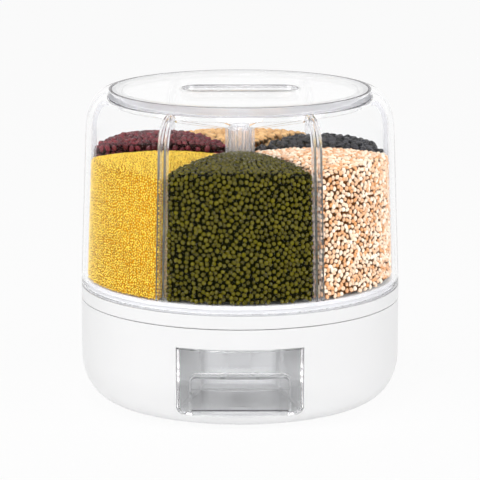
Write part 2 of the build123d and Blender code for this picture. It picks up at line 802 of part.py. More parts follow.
os.makedirs("parts", exist_ok=True)
save(make_base_shell(), "base_shell")
save(make_bottom_plate(), "bottom_plate")
save(make_rubber_feet(), "rubber_feet")
save(make_bottom_screws(), "bottom_screws")
save(make_outlet_deck(), "outlet_deck")
save(make_deck_screws(), "deck_screws")
save(make_outlet_seal(), "outlet_seal")
save(make_cup_bay(), "cup_bay")
save(make_outlet_chute(), "outlet_chute")
save(make_measuring_cup(), "measuring_cup")
save(make_gate_slide(), "gate_slide")
save(make_gate_spring(-1), "gate_spring_left")
save(make_gate_spring(1), "gate_spring_right")
save(make_spindle(), "spindle")
save(make_spindle_washer(), "spindle_washer")
save(make_spindle_screw(), "spindle_screw")
save(make_spindle_bush(), "spindle_bush")
save(make_bearing_balls(), "bearing_balls")
save(make_ball_cage(), "ball_cage")
save(make_turntable(), "turntable")
save(make_barrel(), "barrel")
save(make_center_column(), "center_column")
for index in range(compartments):
    save(make_partition(index), f"partition_{index + 1}")
for index, (name, drop) in enumerate(grain_drops.items()):
    save(make_grain(index, drop), name)
save(make_lid(), "lid")
save(make_lid_seal(), "lid_seal")
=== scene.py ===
# %% [markdown]
# # A rotating grain dispenser
# A white round base carries a clear drum with six compartments, each full of a dry grain. The drum
# turns, and the front compartment empties through a sprung gate into a clear cup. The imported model
# gives every piece its size, place and motion. This lesson gives each one its looks: smooth mouldings,
# clear plastic and real grain.

import json
import math

import bpy
import numpy as np
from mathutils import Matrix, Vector

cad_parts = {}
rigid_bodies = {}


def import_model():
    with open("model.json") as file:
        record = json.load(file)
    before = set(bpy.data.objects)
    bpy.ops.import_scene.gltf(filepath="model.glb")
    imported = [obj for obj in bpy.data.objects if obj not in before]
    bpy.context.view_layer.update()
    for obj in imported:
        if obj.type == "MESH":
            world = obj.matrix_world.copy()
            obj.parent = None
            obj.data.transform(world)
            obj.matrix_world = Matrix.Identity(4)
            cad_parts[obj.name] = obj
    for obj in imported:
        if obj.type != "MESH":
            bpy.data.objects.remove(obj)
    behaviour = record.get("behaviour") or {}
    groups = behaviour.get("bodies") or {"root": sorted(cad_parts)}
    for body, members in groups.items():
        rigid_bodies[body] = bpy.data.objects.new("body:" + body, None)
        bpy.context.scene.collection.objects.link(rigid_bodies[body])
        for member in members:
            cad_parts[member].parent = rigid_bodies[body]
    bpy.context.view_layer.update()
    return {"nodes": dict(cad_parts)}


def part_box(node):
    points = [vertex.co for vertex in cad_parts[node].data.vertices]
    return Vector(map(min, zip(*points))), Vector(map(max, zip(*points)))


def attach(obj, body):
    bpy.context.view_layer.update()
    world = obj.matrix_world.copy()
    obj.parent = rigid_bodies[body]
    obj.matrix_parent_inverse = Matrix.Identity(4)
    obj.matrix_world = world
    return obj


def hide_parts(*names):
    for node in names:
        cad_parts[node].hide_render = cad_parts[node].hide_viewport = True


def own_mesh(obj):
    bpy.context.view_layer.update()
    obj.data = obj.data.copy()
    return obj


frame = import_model()
MM = 0.001

# %% [markdown]
# ## Camera
# The photograph was taken from a little above the table with a long lens, so the drum's sides stay
# upright and the lid shows as a flat oval. A long lens from two metres away gives that. The camera
# stands on the dispenser's front axis and aims at a point on the turning axis.

# %% Camera
camera_distance = 2.11037
camera_tilt = 0.2045492
camera_aim = 0.12342
camera_lens = bpy.data.cameras.new("front_camera")
camera_lens.sensor_width = 36.0
camera_lens.lens = 200.92
camera = bpy.data.objects.new("front_camera", camera_lens)
camera.location = (
    0.0,
    -camera_distance * math.cos(camera_tilt),
    camera_aim + camera_distance * math.sin(camera_tilt),
)
camera.rotation_euler = (math.pi / 2 - camera_tilt, 0.0, 0.0)
bpy.context.scene.collection.objects.link(camera)
bpy.context.scene.camera = camera
print("camera at", [round(v, 3) for v in camera.location])

# %% [markdown]
# ## View and light paths
# The Standard view shows a colour about as it is written. A ray to the rear heaps crosses several clear
# walls with two faces each, so the limits on bounces are raised far enough that such rays aren't cut
# short.

# %% View and light paths
bpy.context.scene.view_settings.view_transform = "Standard"
most_bounces = 32
for limit in ("max_bounces", "transmission_bounces", "diffuse_bounces", "glossy_bounces"):
    setattr(bpy.context.scene.cycles, limit, most_bounces)
print("light paths of up to", most_bounces, "bounces")

# %% [markdown]
# ## White room
# Clear plastic shows only what is round it, so the room is the picture. Floor and sky turn plain white
# for the rays that look at them: straight from the camera, by a reflection, or through clear plastic. A
# Light Path node tells those rays from the rest, so the object isn't lit any more strongly for it.


# %% Helper: rays that see the background
def math_node(tree, operation, *values):
    """The result of a Math node whose inputs are sockets or plain numbers."""
    node = tree.nodes.new("ShaderNodeMath")
    node.operation = operation
    for socket, value in zip(node.inputs, values):
        if isinstance(value, float):
            socket.default_value = value
        else:
            tree.links.new(value, socket)
    return node.outputs[0]


def seen_rays(tree):
    """A socket that is 1 for rays that look at the room: straight, mirrored or through plastic."""
    path = tree.nodes.new("ShaderNodeLightPath")
    seen = math_node(tree, "ADD", path.outputs["Is Camera Ray"], path.outputs["Is Glossy Ray"])
    any_seen = math_node(tree, "ADD", seen, path.outputs["Is Transmission Ray"])
    any_seen.node.use_clamp = True
    return any_seen


# %% [markdown]
# ## Floor
# The object stands on a plain pale floor, one large plane with a dull paint. For the rays that look at
# the room, most of the paint gives way to a white glow. The small rest keeps the object's soft shadow.


# %% Floor
def clear_choice():
    """Nothing selected, so that the next operator acts on new work alone."""
    if bpy.context.object and bpy.context.object.mode != "OBJECT":
        bpy.ops.object.mode_set(mode="OBJECT")
    bpy.ops.object.select_all(action="DESELECT")


def new_material(name):
    """A material, its node tree and its Principled shader."""
    material = bpy.data.materials.new(name)
    material.use_nodes = True
    return material, material.node_tree, material.node_tree.nodes["Principled BSDF"]


floor_size = 16.0
clear_choice()
bpy.ops.mesh.primitive_plane_add(size=floor_size, location=(0.0, 2.0, 0.0))
floor = bpy.context.object
floor.name = "pale_floor"
floor_paint, floor_tree, floor_shader = new_material("pale_floor")
floor_shader.inputs["Base Color"].default_value = (0.86, 0.86, 0.86, 1.0)
floor_shader.inputs["Roughness"].default_value = 0.9
floor.data.materials.append(floor_paint)
print("floor of", floor_size, "m")


# %% Floor: white for the rays that see it
def mix_surface(tree, mask, main, other):
    """Show one shader, and another where a mask is 1."""
    mix = tree.nodes.new("ShaderNodeMixShader")
    tree.links.new(mask, mix.inputs["Fac"])
    tree.links.new(main.outputs[0], mix.inputs[1])
    tree.links.new(other.outputs[0], mix.inputs[2])
    tree.links.new(mix.outputs["Shader"], tree.nodes["Material Output"].inputs["Surface"])


floor_white = 0.93
floor_share = math_node(floor_tree, "MULTIPLY", seen_rays(floor_tree), floor_white)
mix_surface(floor_tree, floor_share, floor_shader, floor_tree.nodes.new("ShaderNodeEmission"))
print("share of white in the floor:", floor_white)

# %% [markdown]
# ## Sky
# The world lights the object evenly at a third of white, and it shows as plain white. A Map Range node
# turns the mask of seen rays into those two strengths.

# %% Sky
sky_light = 0.33
sky = bpy.data.worlds.new("white_room")
sky.use_nodes = True
bpy.context.scene.world = sky
sky_nodes = sky.node_tree.nodes
sky_links = sky.node_tree.links
sky_level = sky_nodes.new("ShaderNodeMapRange")
sky_level.inputs["To Min"].default_value = sky_light
sky_level.inputs["To Max"].default_value = 1.0
sky_links.new(seen_rays(sky.node_tree), sky_level.inputs["Value"])
sky_nodes["Background"].inputs["Color"].default_value = (1.0, 1.0, 1.0, 1.0)
sky_links.new(sky_level.outputs["Result"], sky_nodes["Background"].inputs["Strength"])
print("sky strength as light:", sky_light)

# %% [markdown]
# ## Lamps
# Two tall soft boxes stand left and right, which leaves the front of the white base a little greyer
# than its sides, as in the photograph. A third one in front reaches into the cup's bay. It is kept out
# of reflections, or it would lie as a veil over the drum. A small one overhead lights the heaps of
# grain through the lid.


# %% Soft boxes
def soft_box(name, place, aim, size, power):
    """A rectangular area lamp at a place, turned towards a point."""
    lamp = bpy.data.lights.new(name, "AREA")
    lamp.shape = "RECTANGLE"
    lamp.size, lamp.size_y = size
    lamp.energy = power
    stand = bpy.data.objects.new(name, lamp)
    stand.location = place
    away = Vector(place) - Vector(aim)
    stand.rotation_euler = away.to_track_quat("Z", "Y").to_euler()
    bpy.context.scene.collection.objects.link(stand)
    print(name, "at", place)
    return stand


drum_middle = (0.0, 0.0, 0.13)
bay_middle = (0.0, -0.1, 0.06)
side_size = (0.9, 1.4)
side_power = 11.3
soft_box("left_box", (-1.5, -0.7, 0.7), drum_middle, side_size, side_power)
soft_box("right_box", (1.5, -0.7, 0.7), drum_middle, side_size, side_power)
front_box = soft_box("front_box", (0.0, -1.9, 0.25), bay_middle, (1.4, 0.46), 9.0)
front_box.visible_glossy = False
soft_box("top_box", (-0.2, -0.5, 1.7), drum_middle, (0.45, 0.45), 6.5)

# %% [markdown]
# ## A shared skin for mouldings
# Injection moulded plastic is never quite even: its colour drifts a little with the flow, its gloss
# varies, and its surface has a fine grain from the mould. One node group gives all three, and each
# plastic sets its own amounts. The patterns sit on Object coordinates, so they stay with the piece.


# %% Helpers: node groups
def group_with(name, inputs, outputs):
    """An empty shader node group with named sockets, given as (name, type, default)."""
    tree = bpy.data.node_groups.new(name, "ShaderNodeTree")
    for socket_name, socket_type, default in inputs:
        socket = tree.interface.new_socket(socket_name, in_out="INPUT", socket_type=socket_type)
        socket.default_value = default
    for socket_name, socket_type in outputs:
        tree.interface.new_socket(socket_name, in_out="OUTPUT", socket_type=socket_type)
    return tree, tree.nodes.new("NodeGroupInput"), tree.nodes.new("NodeGroupOutput")


def noise_at(tree, vector, scale, detail):
    """A noise texture of a given fineness, as a socket."""
    noise = tree.nodes.new("ShaderNodeTexNoise")
    noise.inputs["Scale"].default_value = scale
    noise.inputs["Detail"].default_value = detail
    tree.links.new(vector, noise.inputs["Vector"])
    return noise.outputs["Fac"]


def spread_about(tree, middle, amount, noise):
    """middle + amount * (noise - 0.5), as a socket."""
    centred = math_node(tree, "SUBTRACT", noise, 0.5)
    return math_node(tree, "MULTIPLY_ADD", centred, amount, middle)


# %% [markdown]
# ### The skin's nodes
# Three noises of different fineness do the work: a coarse one for the drift of colour, a middle one for
# the gloss, and a very fine one for the grain. Each plastic says how strongly the first two act.

# %% Node group: moulded skin
drift_scale = 22.0
gloss_scale = 130.0
grain_scale = 1400.0
skin_tree, skin_in, skin_out = group_with(
    "moulded_skin",
    [
        ("Color", "NodeSocketColor", (0.9, 0.9, 0.9, 1.0)),
        ("Drift", "NodeSocketFloat", 0.05),
        ("Roughness", "NodeSocketFloat", 0.3),
        ("Gloss Change", "NodeSocketFloat", 0.1),
    ],
    [("Color", "NodeSocketColor"), ("Roughness", "NodeSocketFloat"), ("Height", "NodeSocketFloat")],
)
skin_place = skin_tree.nodes.new("ShaderNodeTexCoord").outputs["Object"]
drift_noise = noise_at(skin_tree, skin_place, drift_scale, 3.0)
drift = spread_about(skin_tree, 1.0, skin_in.outputs["Drift"], drift_noise)
drifted = skin_tree.nodes.new("ShaderNodeVectorMath")
drifted.operation = "SCALE"
skin_tree.links.new(skin_in.outputs["Color"], drifted.inputs[0])
skin_tree.links.new(drift, drifted.inputs["Scale"])
skin_tree.links.new(drifted.outputs["Vector"], skin_out.inputs["Color"])
gloss_noise = noise_at(skin_tree, skin_place, gloss_scale, 4.0)
gloss = spread_about(
    skin_tree, skin_in.outputs["Roughness"], skin_in.outputs["Gloss Change"], gloss_noise
)
skin_tree.links.new(gloss, skin_out.inputs["Roughness"])
skin_tree.links.new(noise_at(skin_tree, skin_place, grain_scale, 2.0), skin_out.inputs["Height"])
print("moulded_skin holds", len(skin_tree.nodes), "nodes")

# %% [markdown]
# ## Plastics, rubber and steel
# The base is satin white, the sliding pieces are grey, the seals are soft and milky, the feet are
# rubber, and the fasteners are bright plated steel. All of them use the moulded skin with their own
# values, and a bump so slight that it only breaks up the reflections.


# %% Helper: a moulded material
def moulded(name, color, drift_amount, roughness, gloss_change, bump, metal=0.0):
    """A material with the moulded skin on colour, roughness and bump."""
    material, tree, shader = new_material(name)
    nodes, links = tree.nodes, tree.links
    skin = nodes.new("ShaderNodeGroup")
    skin.node_tree = skin_tree
    skin.inputs["Color"].default_value = (*color, 1.0)
    skin.inputs["Drift"].default_value = drift_amount
    skin.inputs["Roughness"].default_value = roughness
    skin.inputs["Gloss Change"].default_value = gloss_change
    links.new(skin.outputs["Color"], shader.inputs["Base Color"])
    links.new(skin.outputs["Roughness"], shader.inputs["Roughness"])
    shader.inputs["Metallic"].default_value = metal
    grain = nodes.new("ShaderNodeBump")
    grain.inputs["Strength"].default_value = bump
    grain.inputs["Distance"].default_value = 0.05 * MM
    links.new(skin.outputs["Height"], grain.inputs["Height"])
    links.new(grain.outputs["Normal"], shader.inputs["Normal"])
    return material


# %% Moulded materials
# Each line gives the colour, the drift of colour, the roughness, its change and the depth of the grain.
white_plastic = moulded("white_plastic", (0.86, 0.86, 0.865), 0.03, 0.32, 0.1, 0.15)
# The bay's white is painted light: lighter than the base's, to brighten its shaded inside.
bay_painted_light = moulded("bay_painted_light", (0.93, 0.93, 0.935), 0.03, 0.4, 0.1, 0.15)
# The next two greys are painted shade: the shadow in the groove under the drum's foot, and the shaded ledge
# inside the drum.
groove_painted_shadow = moulded("groove_painted_shadow", (0.5, 0.5, 0.52), 0.05, 0.5, 0.1, 0.15)
ledge_painted_shade = moulded("ledge_painted_shade", (0.52, 0.52, 0.54), 0.04, 0.45, 0.1, 0.15)
grey_plastic = moulded("grey_plastic", (0.78, 0.78, 0.79), 0.05, 0.45, 0.12, 0.2)
milky_silicone = moulded("milky_silicone", (0.78, 0.79, 0.79), 0.05, 0.55, 0.1, 0.2)
foot_rubber = moulded("foot_rubber", (0.34, 0.35, 0.35), 0.1, 0.75, 0.1, 0.4)
plated_steel = moulded("plated_steel", (0.62, 0.63, 0.64), 0.06, 0.24, 0.14, 0.1, metal=1.0)
print("moulded materials:", white_plastic.name, grey_plastic.name, plated_steel.name)

# %% [markdown]
# ## Clear plastic
# Clear walls are real solids with two faces. Real plastic bends light more than the drum here does: the
# heaps were placed along straight lines of sight, and a weak bend leaves them there. The lid, the
# column and the cup bend it more, which gives them reflections. Lamps can't shine straight through a
# solid wall in a path tracer, so for shadow rays alone a Light Path node swaps in a plain transparent
# shader, and the grain is lit without noise.


# %% Helper: a clear material
def clear_moulding(name, tint, roughness, bend, clearness=1.0):
    """See-through plastic that lets lamps through."""
    material = moulded(name, tint, 0.01, roughness, 0.02, 0.02)
    tree = material.node_tree
    shader = tree.nodes["Principled BSDF"]
    shader.inputs["Transmission Weight"].default_value = clearness
    shader.inputs["IOR"].default_value = bend
    lamps_through = tree.nodes.new("ShaderNodeBsdfTransparent")
    lamps_through.inputs["Color"].default_value = (0.97, 0.973, 0.976, 1.0)
    path = tree.nodes.new("ShaderNodeLightPath")
    mix_surface(tree, path.outputs["Is Shadow Ray"], shader, lamps_through)
    return material


# %% [markdown]
# ### Clear finishes with painted shade
# Edges and ribs of a clear moulding show as grey lines, because they send the eye to darker places. With a
# weak bend those lines would be lost, so edges, ribs and mouth get grey tints of their own that paint those
# lines in as shade, and let less light through.

# %% Clear materials
# Each line gives the tint, the roughness, the bend and, for the less clear ones, the clearness.
clear_plastic = clear_moulding("clear_plastic", (0.995, 0.996, 0.997), 0.02, 1.06)
# The rim, rib and mouth tints are painted shade: dark and grey lines in place of the darker places seen
# through clear edges.
rim_painted_shade = clear_moulding("rim_painted_shade", (0.16, 0.15, 0.16), 0.2, 1.2, clearness=0.4)
rib_painted_shade = clear_moulding("rib_painted_shade", (0.84, 0.84, 0.86), 0.15, 1.2, clearness=0.93)
mouth_painted_shade = clear_moulding("mouth_painted_shade", (0.62, 0.62, 0.64), 0.2, 1.1, clearness=0.5)
lid_plastic = clear_moulding("lid_plastic", (0.99, 0.99, 0.993), 0.02, 1.35)
lid_plastic.node_tree.nodes["Principled BSDF"].inputs["Coat Weight"].default_value = 1.0
column_plastic = clear_moulding("column_plastic", (0.94, 0.94, 0.96), 0.05, 1.4, clearness=0.9)
cup_plastic = clear_moulding("cup_plastic", (0.99, 0.991, 0.993), 0.03, 1.4)
clear_silicone = clear_moulding("clear_silicone", (0.95, 0.955, 0.955), 0.35, 1.2)
print("clear materials:", clear_plastic.name, cup_plastic.name, clear_silicone.name)

# %% [markdown]
# ## Tools for modelling
# Most pieces here are round, so they start as an outline that is spun about the upright axis. The
# outline is a circle primitive whose points are moved onto the section of the piece. Corners are
# rounded in the outline, so every edge has a small highlight.


# %% Helpers: outlines
def rounded(corners, steps=4):
    """An outline of (radius, height, rounding) corners, with each rounding drawn as a short curve."""
    points = []
    for index, (radius, height, rounding) in enumerate(corners):
        here = np.array((radius, height))
        if not rounding:
            points.append(tuple(here))
            continue
        before = np.array(corners[index - 1][:2])
        after = np.array(corners[(index + 1) % len(corners)][:2])
        start = here + (before - here) * rounding / np.linalg.norm(before - here)
        end = here + (after - here) * rounding / np.linalg.norm(after - here)
        for step in range(steps + 1):
            t = step / steps
            points.append(tuple((1 - t) ** 2 * start + 2 * t * (1 - t) * here + t**2 * end))
    return points


def quarter_oval(middle, width, height, start, end, steps):
    """Points along an oval between two angles in degrees, as corners without rounding."""
    angles = np.radians(np.linspace(start, end, steps + 1))
    return [(middle[0] + width * math.cos(a), middle[1] + height * math.sin(a), 0.0) for a in angles]


# %% [markdown]
# ### Spinning
# Spin turns the outline about the upright axis and leaves a ring of faces at each step. Its last ring
# lies on the first, so doubles are merged, and the normals are then turned outwards.


# %% Helper: spin an outline
def edit_all():
    """Edit mode with everything selected."""
    bpy.ops.object.mode_set(mode="EDIT")
    bpy.ops.mesh.select_all(action="SELECT")


def spin_outline(name, outline, stretches):
    """A closed outline in millimetres spun about the upright axis, in stretches of (degrees, steps)."""
    clear_choice()
    bpy.ops.mesh.primitive_circle_add(vertices=len(outline), radius=1.0)
    piece = bpy.context.object
    piece.name = name
    for vertex, (radius, height) in zip(piece.data.vertices, outline):
        vertex.co = (radius * MM, 0.0, height * MM)
    edit_all()
    for degrees, steps in stretches:
        bpy.ops.mesh.spin(steps=steps, angle=math.radians(degrees), center=(0, 0, 0), axis=(0, 0, 1))
    bpy.ops.mesh.select_all(action="SELECT")
    bpy.ops.mesh.remove_doubles(threshold=0.002 * MM)
    bpy.ops.mesh.normals_make_consistent(inside=False)
    bpy.ops.object.mode_set(mode="OBJECT")
    return piece


# %% [markdown]
# ### Selecting by place
# An operator in edit mode acts on what is selected. By hand one would click; here a test on the place
# of a point, edge or face does it, and the places are in millimetres.


# %% Helpers: selecting
def work_on(piece):
    """Make one piece the only selected and active one."""
    clear_choice()
    piece.select_set(True)
    bpy.context.view_layer.objects.active = piece


def pick(piece, kind, test):
    """Select the vertices, edges or faces that pass a test on their corners, and count them."""
    bpy.ops.object.mode_set(mode="OBJECT")
    mesh = piece.data
    for items in (mesh.vertices, mesh.edges, mesh.polygons):
        items.foreach_set("select", [False] * len(items))
    bpy.ops.object.mode_set(mode="EDIT")
    bpy.ops.mesh.select_mode(type={"vertices": "VERT", "edges": "EDGE", "polygons": "FACE"}[kind])
    bpy.ops.object.mode_set(mode="OBJECT")
    count = 0
    for item in getattr(mesh, kind):
        ends = [item.co] if kind == "vertices" else [mesh.vertices[i].co for i in item.vertices]
        if test(item, [tuple(c / MM for c in end) for end in ends]):
            item.select = True
            count += 1
    bpy.ops.object.mode_set(mode="EDIT")
    return count


# %% [markdown]
# ### Blocks and cuts
# Openings and recesses are cut with blocks, as a mould's cores do it. A block is a cube primitive that
# is sized and moved in edit mode, and bevelled where the real corner is round.


# %% Helpers: blocks and cuts
def block(name, low, high):
    """A box between two corners in millimetres."""
    clear_choice()
    bpy.ops.mesh.primitive_cube_add(size=1.0)
    piece = bpy.context.object
    piece.name = name
    size = np.subtract(high, low) * MM
    middle = np.add(high, low) / 2 * MM
    bpy.ops.object.mode_set(mode="EDIT")
    bpy.ops.transform.resize(value=tuple(size))
    bpy.ops.transform.translate(value=tuple(middle))
    bpy.ops.object.mode_set(mode="OBJECT")
    return piece


def round_edges(piece, test, radius, segments):
    """Bevel the edges whose two ends pass a test."""
    work_on(piece)
    pick(piece, "edges", lambda edge, ends: test(*ends))
    bpy.ops.mesh.bevel(offset=radius * MM, segments=segments, affect="EDGES")
    bpy.ops.object.mode_set(mode="OBJECT")


def combine(piece, tool, operation):
    """Cut with, or join to, another block, which is used up."""
    work_on(piece)
    change = piece.modifiers.new("cut", "BOOLEAN")
    change.operation = operation
    change.solver = "EXACT"
    change.object = tool
    bpy.ops.object.modifier_apply(modifier=change.name)
    bpy.data.objects.remove(tool)


# %% [markdown]
# ### Edges and places
# No moulded edge is quite sharp, so sharp edges get a narrow bevel, and a Weighted Normal modifier
# keeps the large faces flat. A finished piece then gets its material, rides on its body and stands for
# its CAD node.


# %% Helpers: finishing a piece
def soften_edges(piece, width, angle=40.0, segments=2):
    """A narrow bevel on sharp edges, then smooth shading that leaves the large faces flat."""
    work_on(piece)
    if width:
        edge = piece.modifiers.new("edge", "BEVEL")
        edge.width = width * MM
        edge.segments = segments
        edge.limit_method = "ANGLE"
        edge.angle_limit = math.radians(angle)
        bpy.ops.object.modifier_apply(modifier=edge.name)
    bpy.ops.object.shade_smooth_by_angle(angle=math.radians(angle))
    flat = piece.modifiers.new("flat", "WEIGHTED_NORMAL")
    flat.keep_sharp = True
    bpy.ops.object.modifier_apply(modifier=flat.name)


def set_in_place(piece, body, slot, material, *nodes):
    """Apply the place, give the finish, and let the piece stand for its CAD nodes."""
    work_on(piece)
    bpy.ops.object.transform_apply(location=True, rotation=True, scale=True)
    if material:
        piece.data.materials.clear()
        piece.data.materials.append(material)
    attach(piece, body)
    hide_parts(*nodes)
    triangles = sum(len(face.vertices) - 2 for face in piece.data.polygons)
    print(piece.name, "has", triangles, "triangles")


# %% [markdown]
# ## Base shell
# The base is one white moulding: a thin wall that curls under at the bottom. It could be a solid with a
# hollow cut out of it, but spinning the wall's section gives an even thickness and smooth rings of
# faces.

# %% Base wall
full_turn = ((360.0, 180),)
curl_middle = (102.0, 35.7)
shell_outline = (
    [(99.0, 2.0, 0.3)]
    + quarter_oval(curl_middle, 23.0, 33.7, -90.0, 0.0, 18)
    + [(125.0, 80.3, 0.4), (122.0, 80.3, 0.4)]
    + quarter_oval(curl_middle, 20.0, 30.7, 0.0, -63.6, 12)
    + [(89.0, 8.2, 0.4), (89.0, 5.2, 0.3), (99.0, 5.2, 0.0)]
)
base_shell = spin_outline("base_moulding", rounded(shell_outline), full_turn)
print("base wall has", len(base_shell.data.polygons), "faces")

# %% [markdown]
# ### Opening for the cup
# The wall's front has a wide opening with rounded lower corners. It is cut with one block, and the
# bevel comes straight after it, because the small holes of the next step would leave the bevel no room.

# %% Opening for the cup
opening_low = 11.5
opening = block("opening", (-48.25, -140.0, opening_low), (48.25, -90.0, 65.1))
round_edges(opening, lambda a, b: max(a[2], b[2]) < opening_low + 0.5 and abs(a[0] - b[0]) < 0.1, 6.0, 8)
combine(base_shell, opening, "DIFFERENCE")
soften_edges(base_shell, 0.45, angle=50.0, segments=3)
print("base with its opening has", len(base_shell.data.polygons), "faces")

# %% [markdown]
# ### Screw posts
# Round posts inside the wall take the screws of the deck above and of the plate below. They are
# cylinders that are joined to the wall, and a thinner cylinder drills each one.


# %% Screw posts
def ring_of_posts(radius, circle, angles, low, high):
    """Upright round posts on a circle, in one mesh."""
    clear_choice()
    for angle in np.radians(angles):
        across = circle * math.cos(angle) * MM
        along = circle * math.sin(angle) * MM
        bpy.ops.mesh.primitive_cylinder_add(
            vertices=32,
            radius=radius * MM,
            depth=(high - low) * MM,
            location=(across, along, (low + high) / 2 * MM),
        )
        if bpy.context.object.mode == "OBJECT":
            bpy.ops.object.transform_apply(location=True, rotation=True, scale=True)
            bpy.ops.object.mode_set(mode="EDIT")
    bpy.ops.object.mode_set(mode="OBJECT")
    return bpy.context.object


deck_circle = 118.0
deck_bosses = (225, 315, 350, 55, 125, 190)
plate_circle = 93.85
plate_bosses = (25, 155, 205, 335)
drill_radius = 1.52
combine(base_shell, ring_of_posts(5.0, deck_circle, deck_bosses, 55.5, 75.5), "UNION")
combine(base_shell, ring_of_posts(4.8, plate_circle, plate_bosses, 6.0, 16.2), "UNION")
combine(base_shell, ring_of_posts(drill_radius, deck_circle, deck_bosses, 66.9, 76.0), "DIFFERENCE")
combine(base_shell, ring_of_posts(drill_radius, plate_circle, plate_bosses, 4.0, 13.8), "DIFFERENCE")
soften_edges(base_shell, 0.0, angle=50.0)
set_in_place(base_shell, "base", "white_plastic", white_plastic, "base_shell")

# %% [markdown]
# ## Turntable
# The white rim above the seam belongs to the turntable, whose floor carries the clear drum. Its section
# is spun in one go, with the snap bead that holds the drum and a shallow groove under the drum's foot.

# %% Turntable section
table_outline = [
    (6.3, 94.6, 0.0), (117.2, 94.6, 0.4), (117.2, 89.0, 0.4), (122.0, 89.0, 0.4), (122.0, 80.9, 0.3),
    (125.0, 80.9, 0.4), (125.0, 90.9, 0.5), (122.8, 90.9, 0.2), (122.8, 92.0, 0.2), (120.2, 92.0, 0.3),
    (120.2, 94.0, 0.2), (120.9, 94.8, 0.2), (120.2, 95.6, 0.2), (120.2, 97.6, 0.5), (8.27, 97.6, 0.3),
    (8.27, 112.0, 0.4), (6.3, 112.0, 0.3),
]
turntable = spin_outline("turntable_moulding", rounded(table_outline), full_turn)
print("turntable section has", len(table_outline), "corners")

# %% [markdown]
# ### Outlets
# Each compartment empties through a slot in the floor. The six slots are cut with one kind of block,
# turned about the axis by a sixth of a circle each time.

# %% Outlets
outlet_count = 6
for index in range(outlet_count):
    outlet = block("outlet", (-20.0, -71.0, 90.0), (20.0, -53.0, 100.0))
    round_edges(outlet, lambda a, b: abs(a[2] - b[2]) > 1, 1.5, 4)
    outlet.rotation_euler = (0.0, 0.0, math.radians(360.0 / outlet_count * index))
    bpy.context.view_layer.update()
    combine(turntable, outlet, "DIFFERENCE")
print("turntable with its outlets has", len(turntable.data.polygons), "faces")

# %% [markdown]
# ### Groove and ledge
# The shadow in the groove shows as a grey line in the photograph, and the ledge behind the drum's foot is
# greyer than the rest because it lies in shade. Their faces are picked by place and get painted shade: grey
# materials of their own.


# %% Groove and ledge
def give_finish(piece, main, second):
    """The second finish goes on the faces selected in edit mode, and the main one elsewhere."""
    bpy.ops.object.mode_set(mode="OBJECT")
    piece.data.materials.clear()
    piece.data.materials.append(main)
    piece.data.materials.append(second)
    for face in piece.data.polygons:
        face.material_index = 1 if face.select else 0


def finish_faces(piece, material, test):
    """One more finish on the faces whose middle, as radius and height in millimetres, passes a test."""
    piece.data.materials.append(material)
    last = len(piece.data.materials) - 1
    for face in piece.data.polygons:
        if test(math.hypot(*face.center[:2]) / MM, face.center.z / MM):
            face.material_index = last


groove_top = 92.1


def in_groove(face, corners):
    """True for a face of the groove under the drum's foot."""
    return all(122.7 < math.hypot(*c[:2]) < 124.9 and 90.8 < c[2] < groove_top for c in corners)


work_on(turntable)
print("faces in the groove:", pick(turntable, "polygons", in_groove))
# Painted shadow in the groove, and painted shade on the ledge.
give_finish(turntable, white_plastic, groove_painted_shadow)
finish_faces(turntable, ledge_painted_shade, lambda radius, height: radius > 119.0 and height > groove_top)
soften_edges(turntable, 0.0, angle=40.0)
set_in_place(turntable, "rotor", "white_plastic", None, "turntable")

# %% [markdown]
# ## Clear drum
# The drum is one clear moulding with a slight draft, a round shoulder and a stepped mouth for the lid.
# Its section is spun in stretches that end where the guide ribs begin and end, so that the ribs can be
# picked later as whole faces of the wall.

# %% Drum wall
slot_angle = 0.77
rib_angle = 1.05
rest_angle = 60.0 - 2 * (slot_angle + rib_angle)
shoulder_middle = (101.5, 211.3)
drum_outline = (
    [(120.5, 92.0, 0.3), (125.0, 92.0, 1.2)]
    + [(120.6 + 4.4 * (211.3 - z) / 119.3, z, 0.0) for z in (98.0, 120.0, 150.0, 180.0)]
    + quarter_oval(shoulder_middle, 19.1, 33.0, 0.0, 88.0, 22)
    + [(100.9, 244.3, 0.5), (100.9, 240.3, 0.2), (95.9, 240.3, 0.4), (95.9, 236.8, 0.4)]
    + quarter_oval(shoulder_middle, 14.6, 25.5, 90.0, 0.0, 18)
    + [(116.1 + 4.4 * (211.3 - z) / 113.7, z, 0.0) for z in (180.0, 150.0, 120.0, 97.9)]
)
drum_stretches = ((slot_angle * 2, 1), (rib_angle, 1), (rest_angle, 16), (rib_angle, 1)) * 6
drum = spin_outline("clear_drum", rounded(drum_outline), drum_stretches)
print("drum wall has", len(drum.data.polygons), "faces")

# %% [markdown]
# ### Guide ribs
# Twelve ribs inside the wall hold the panels in pairs. They could be blocks joined to the wall, but
# pushing the wall's own faces inwards keeps one clean skin that follows the shoulder.


# %% Guide ribs
rib_depth = 4.0


def on_rib(face, corners):
    """True for a face of the drum's inner wall that one rib stands on."""
    x = np.mean([c[0] for c in corners])
    y = np.mean([c[1] for c in corners])
    heights = [c[2] for c in corners]
    turn = (math.degrees(math.atan2(y, x)) + 30.0) % 60.0 - 30.0
    inner = face.normal.x * x + face.normal.y * y < -0.02 or face.normal.z < -0.9
    on_wall = min(heights) > 97.0 and max(heights) < 236.9 and math.hypot(x, y) > 101.0
    return inner and on_wall and slot_angle < abs(turn) < slot_angle + rib_angle


work_on(drum)
drum.rotation_euler = (0.0, 0.0, math.radians(slot_angle))
bpy.ops.object.transform_apply(location=False, rotation=True, scale=False)
rib_faces = pick(drum, "polygons", on_rib)
bpy.ops.mesh.extrude_region_shrink_fatten(TRANSFORM_OT_shrink_fatten={"value": rib_depth * MM})
bpy.ops.mesh.select_more()
give_finish(drum, clear_plastic, rib_painted_shade)
print("faces pushed in for the ribs:", rib_faces)
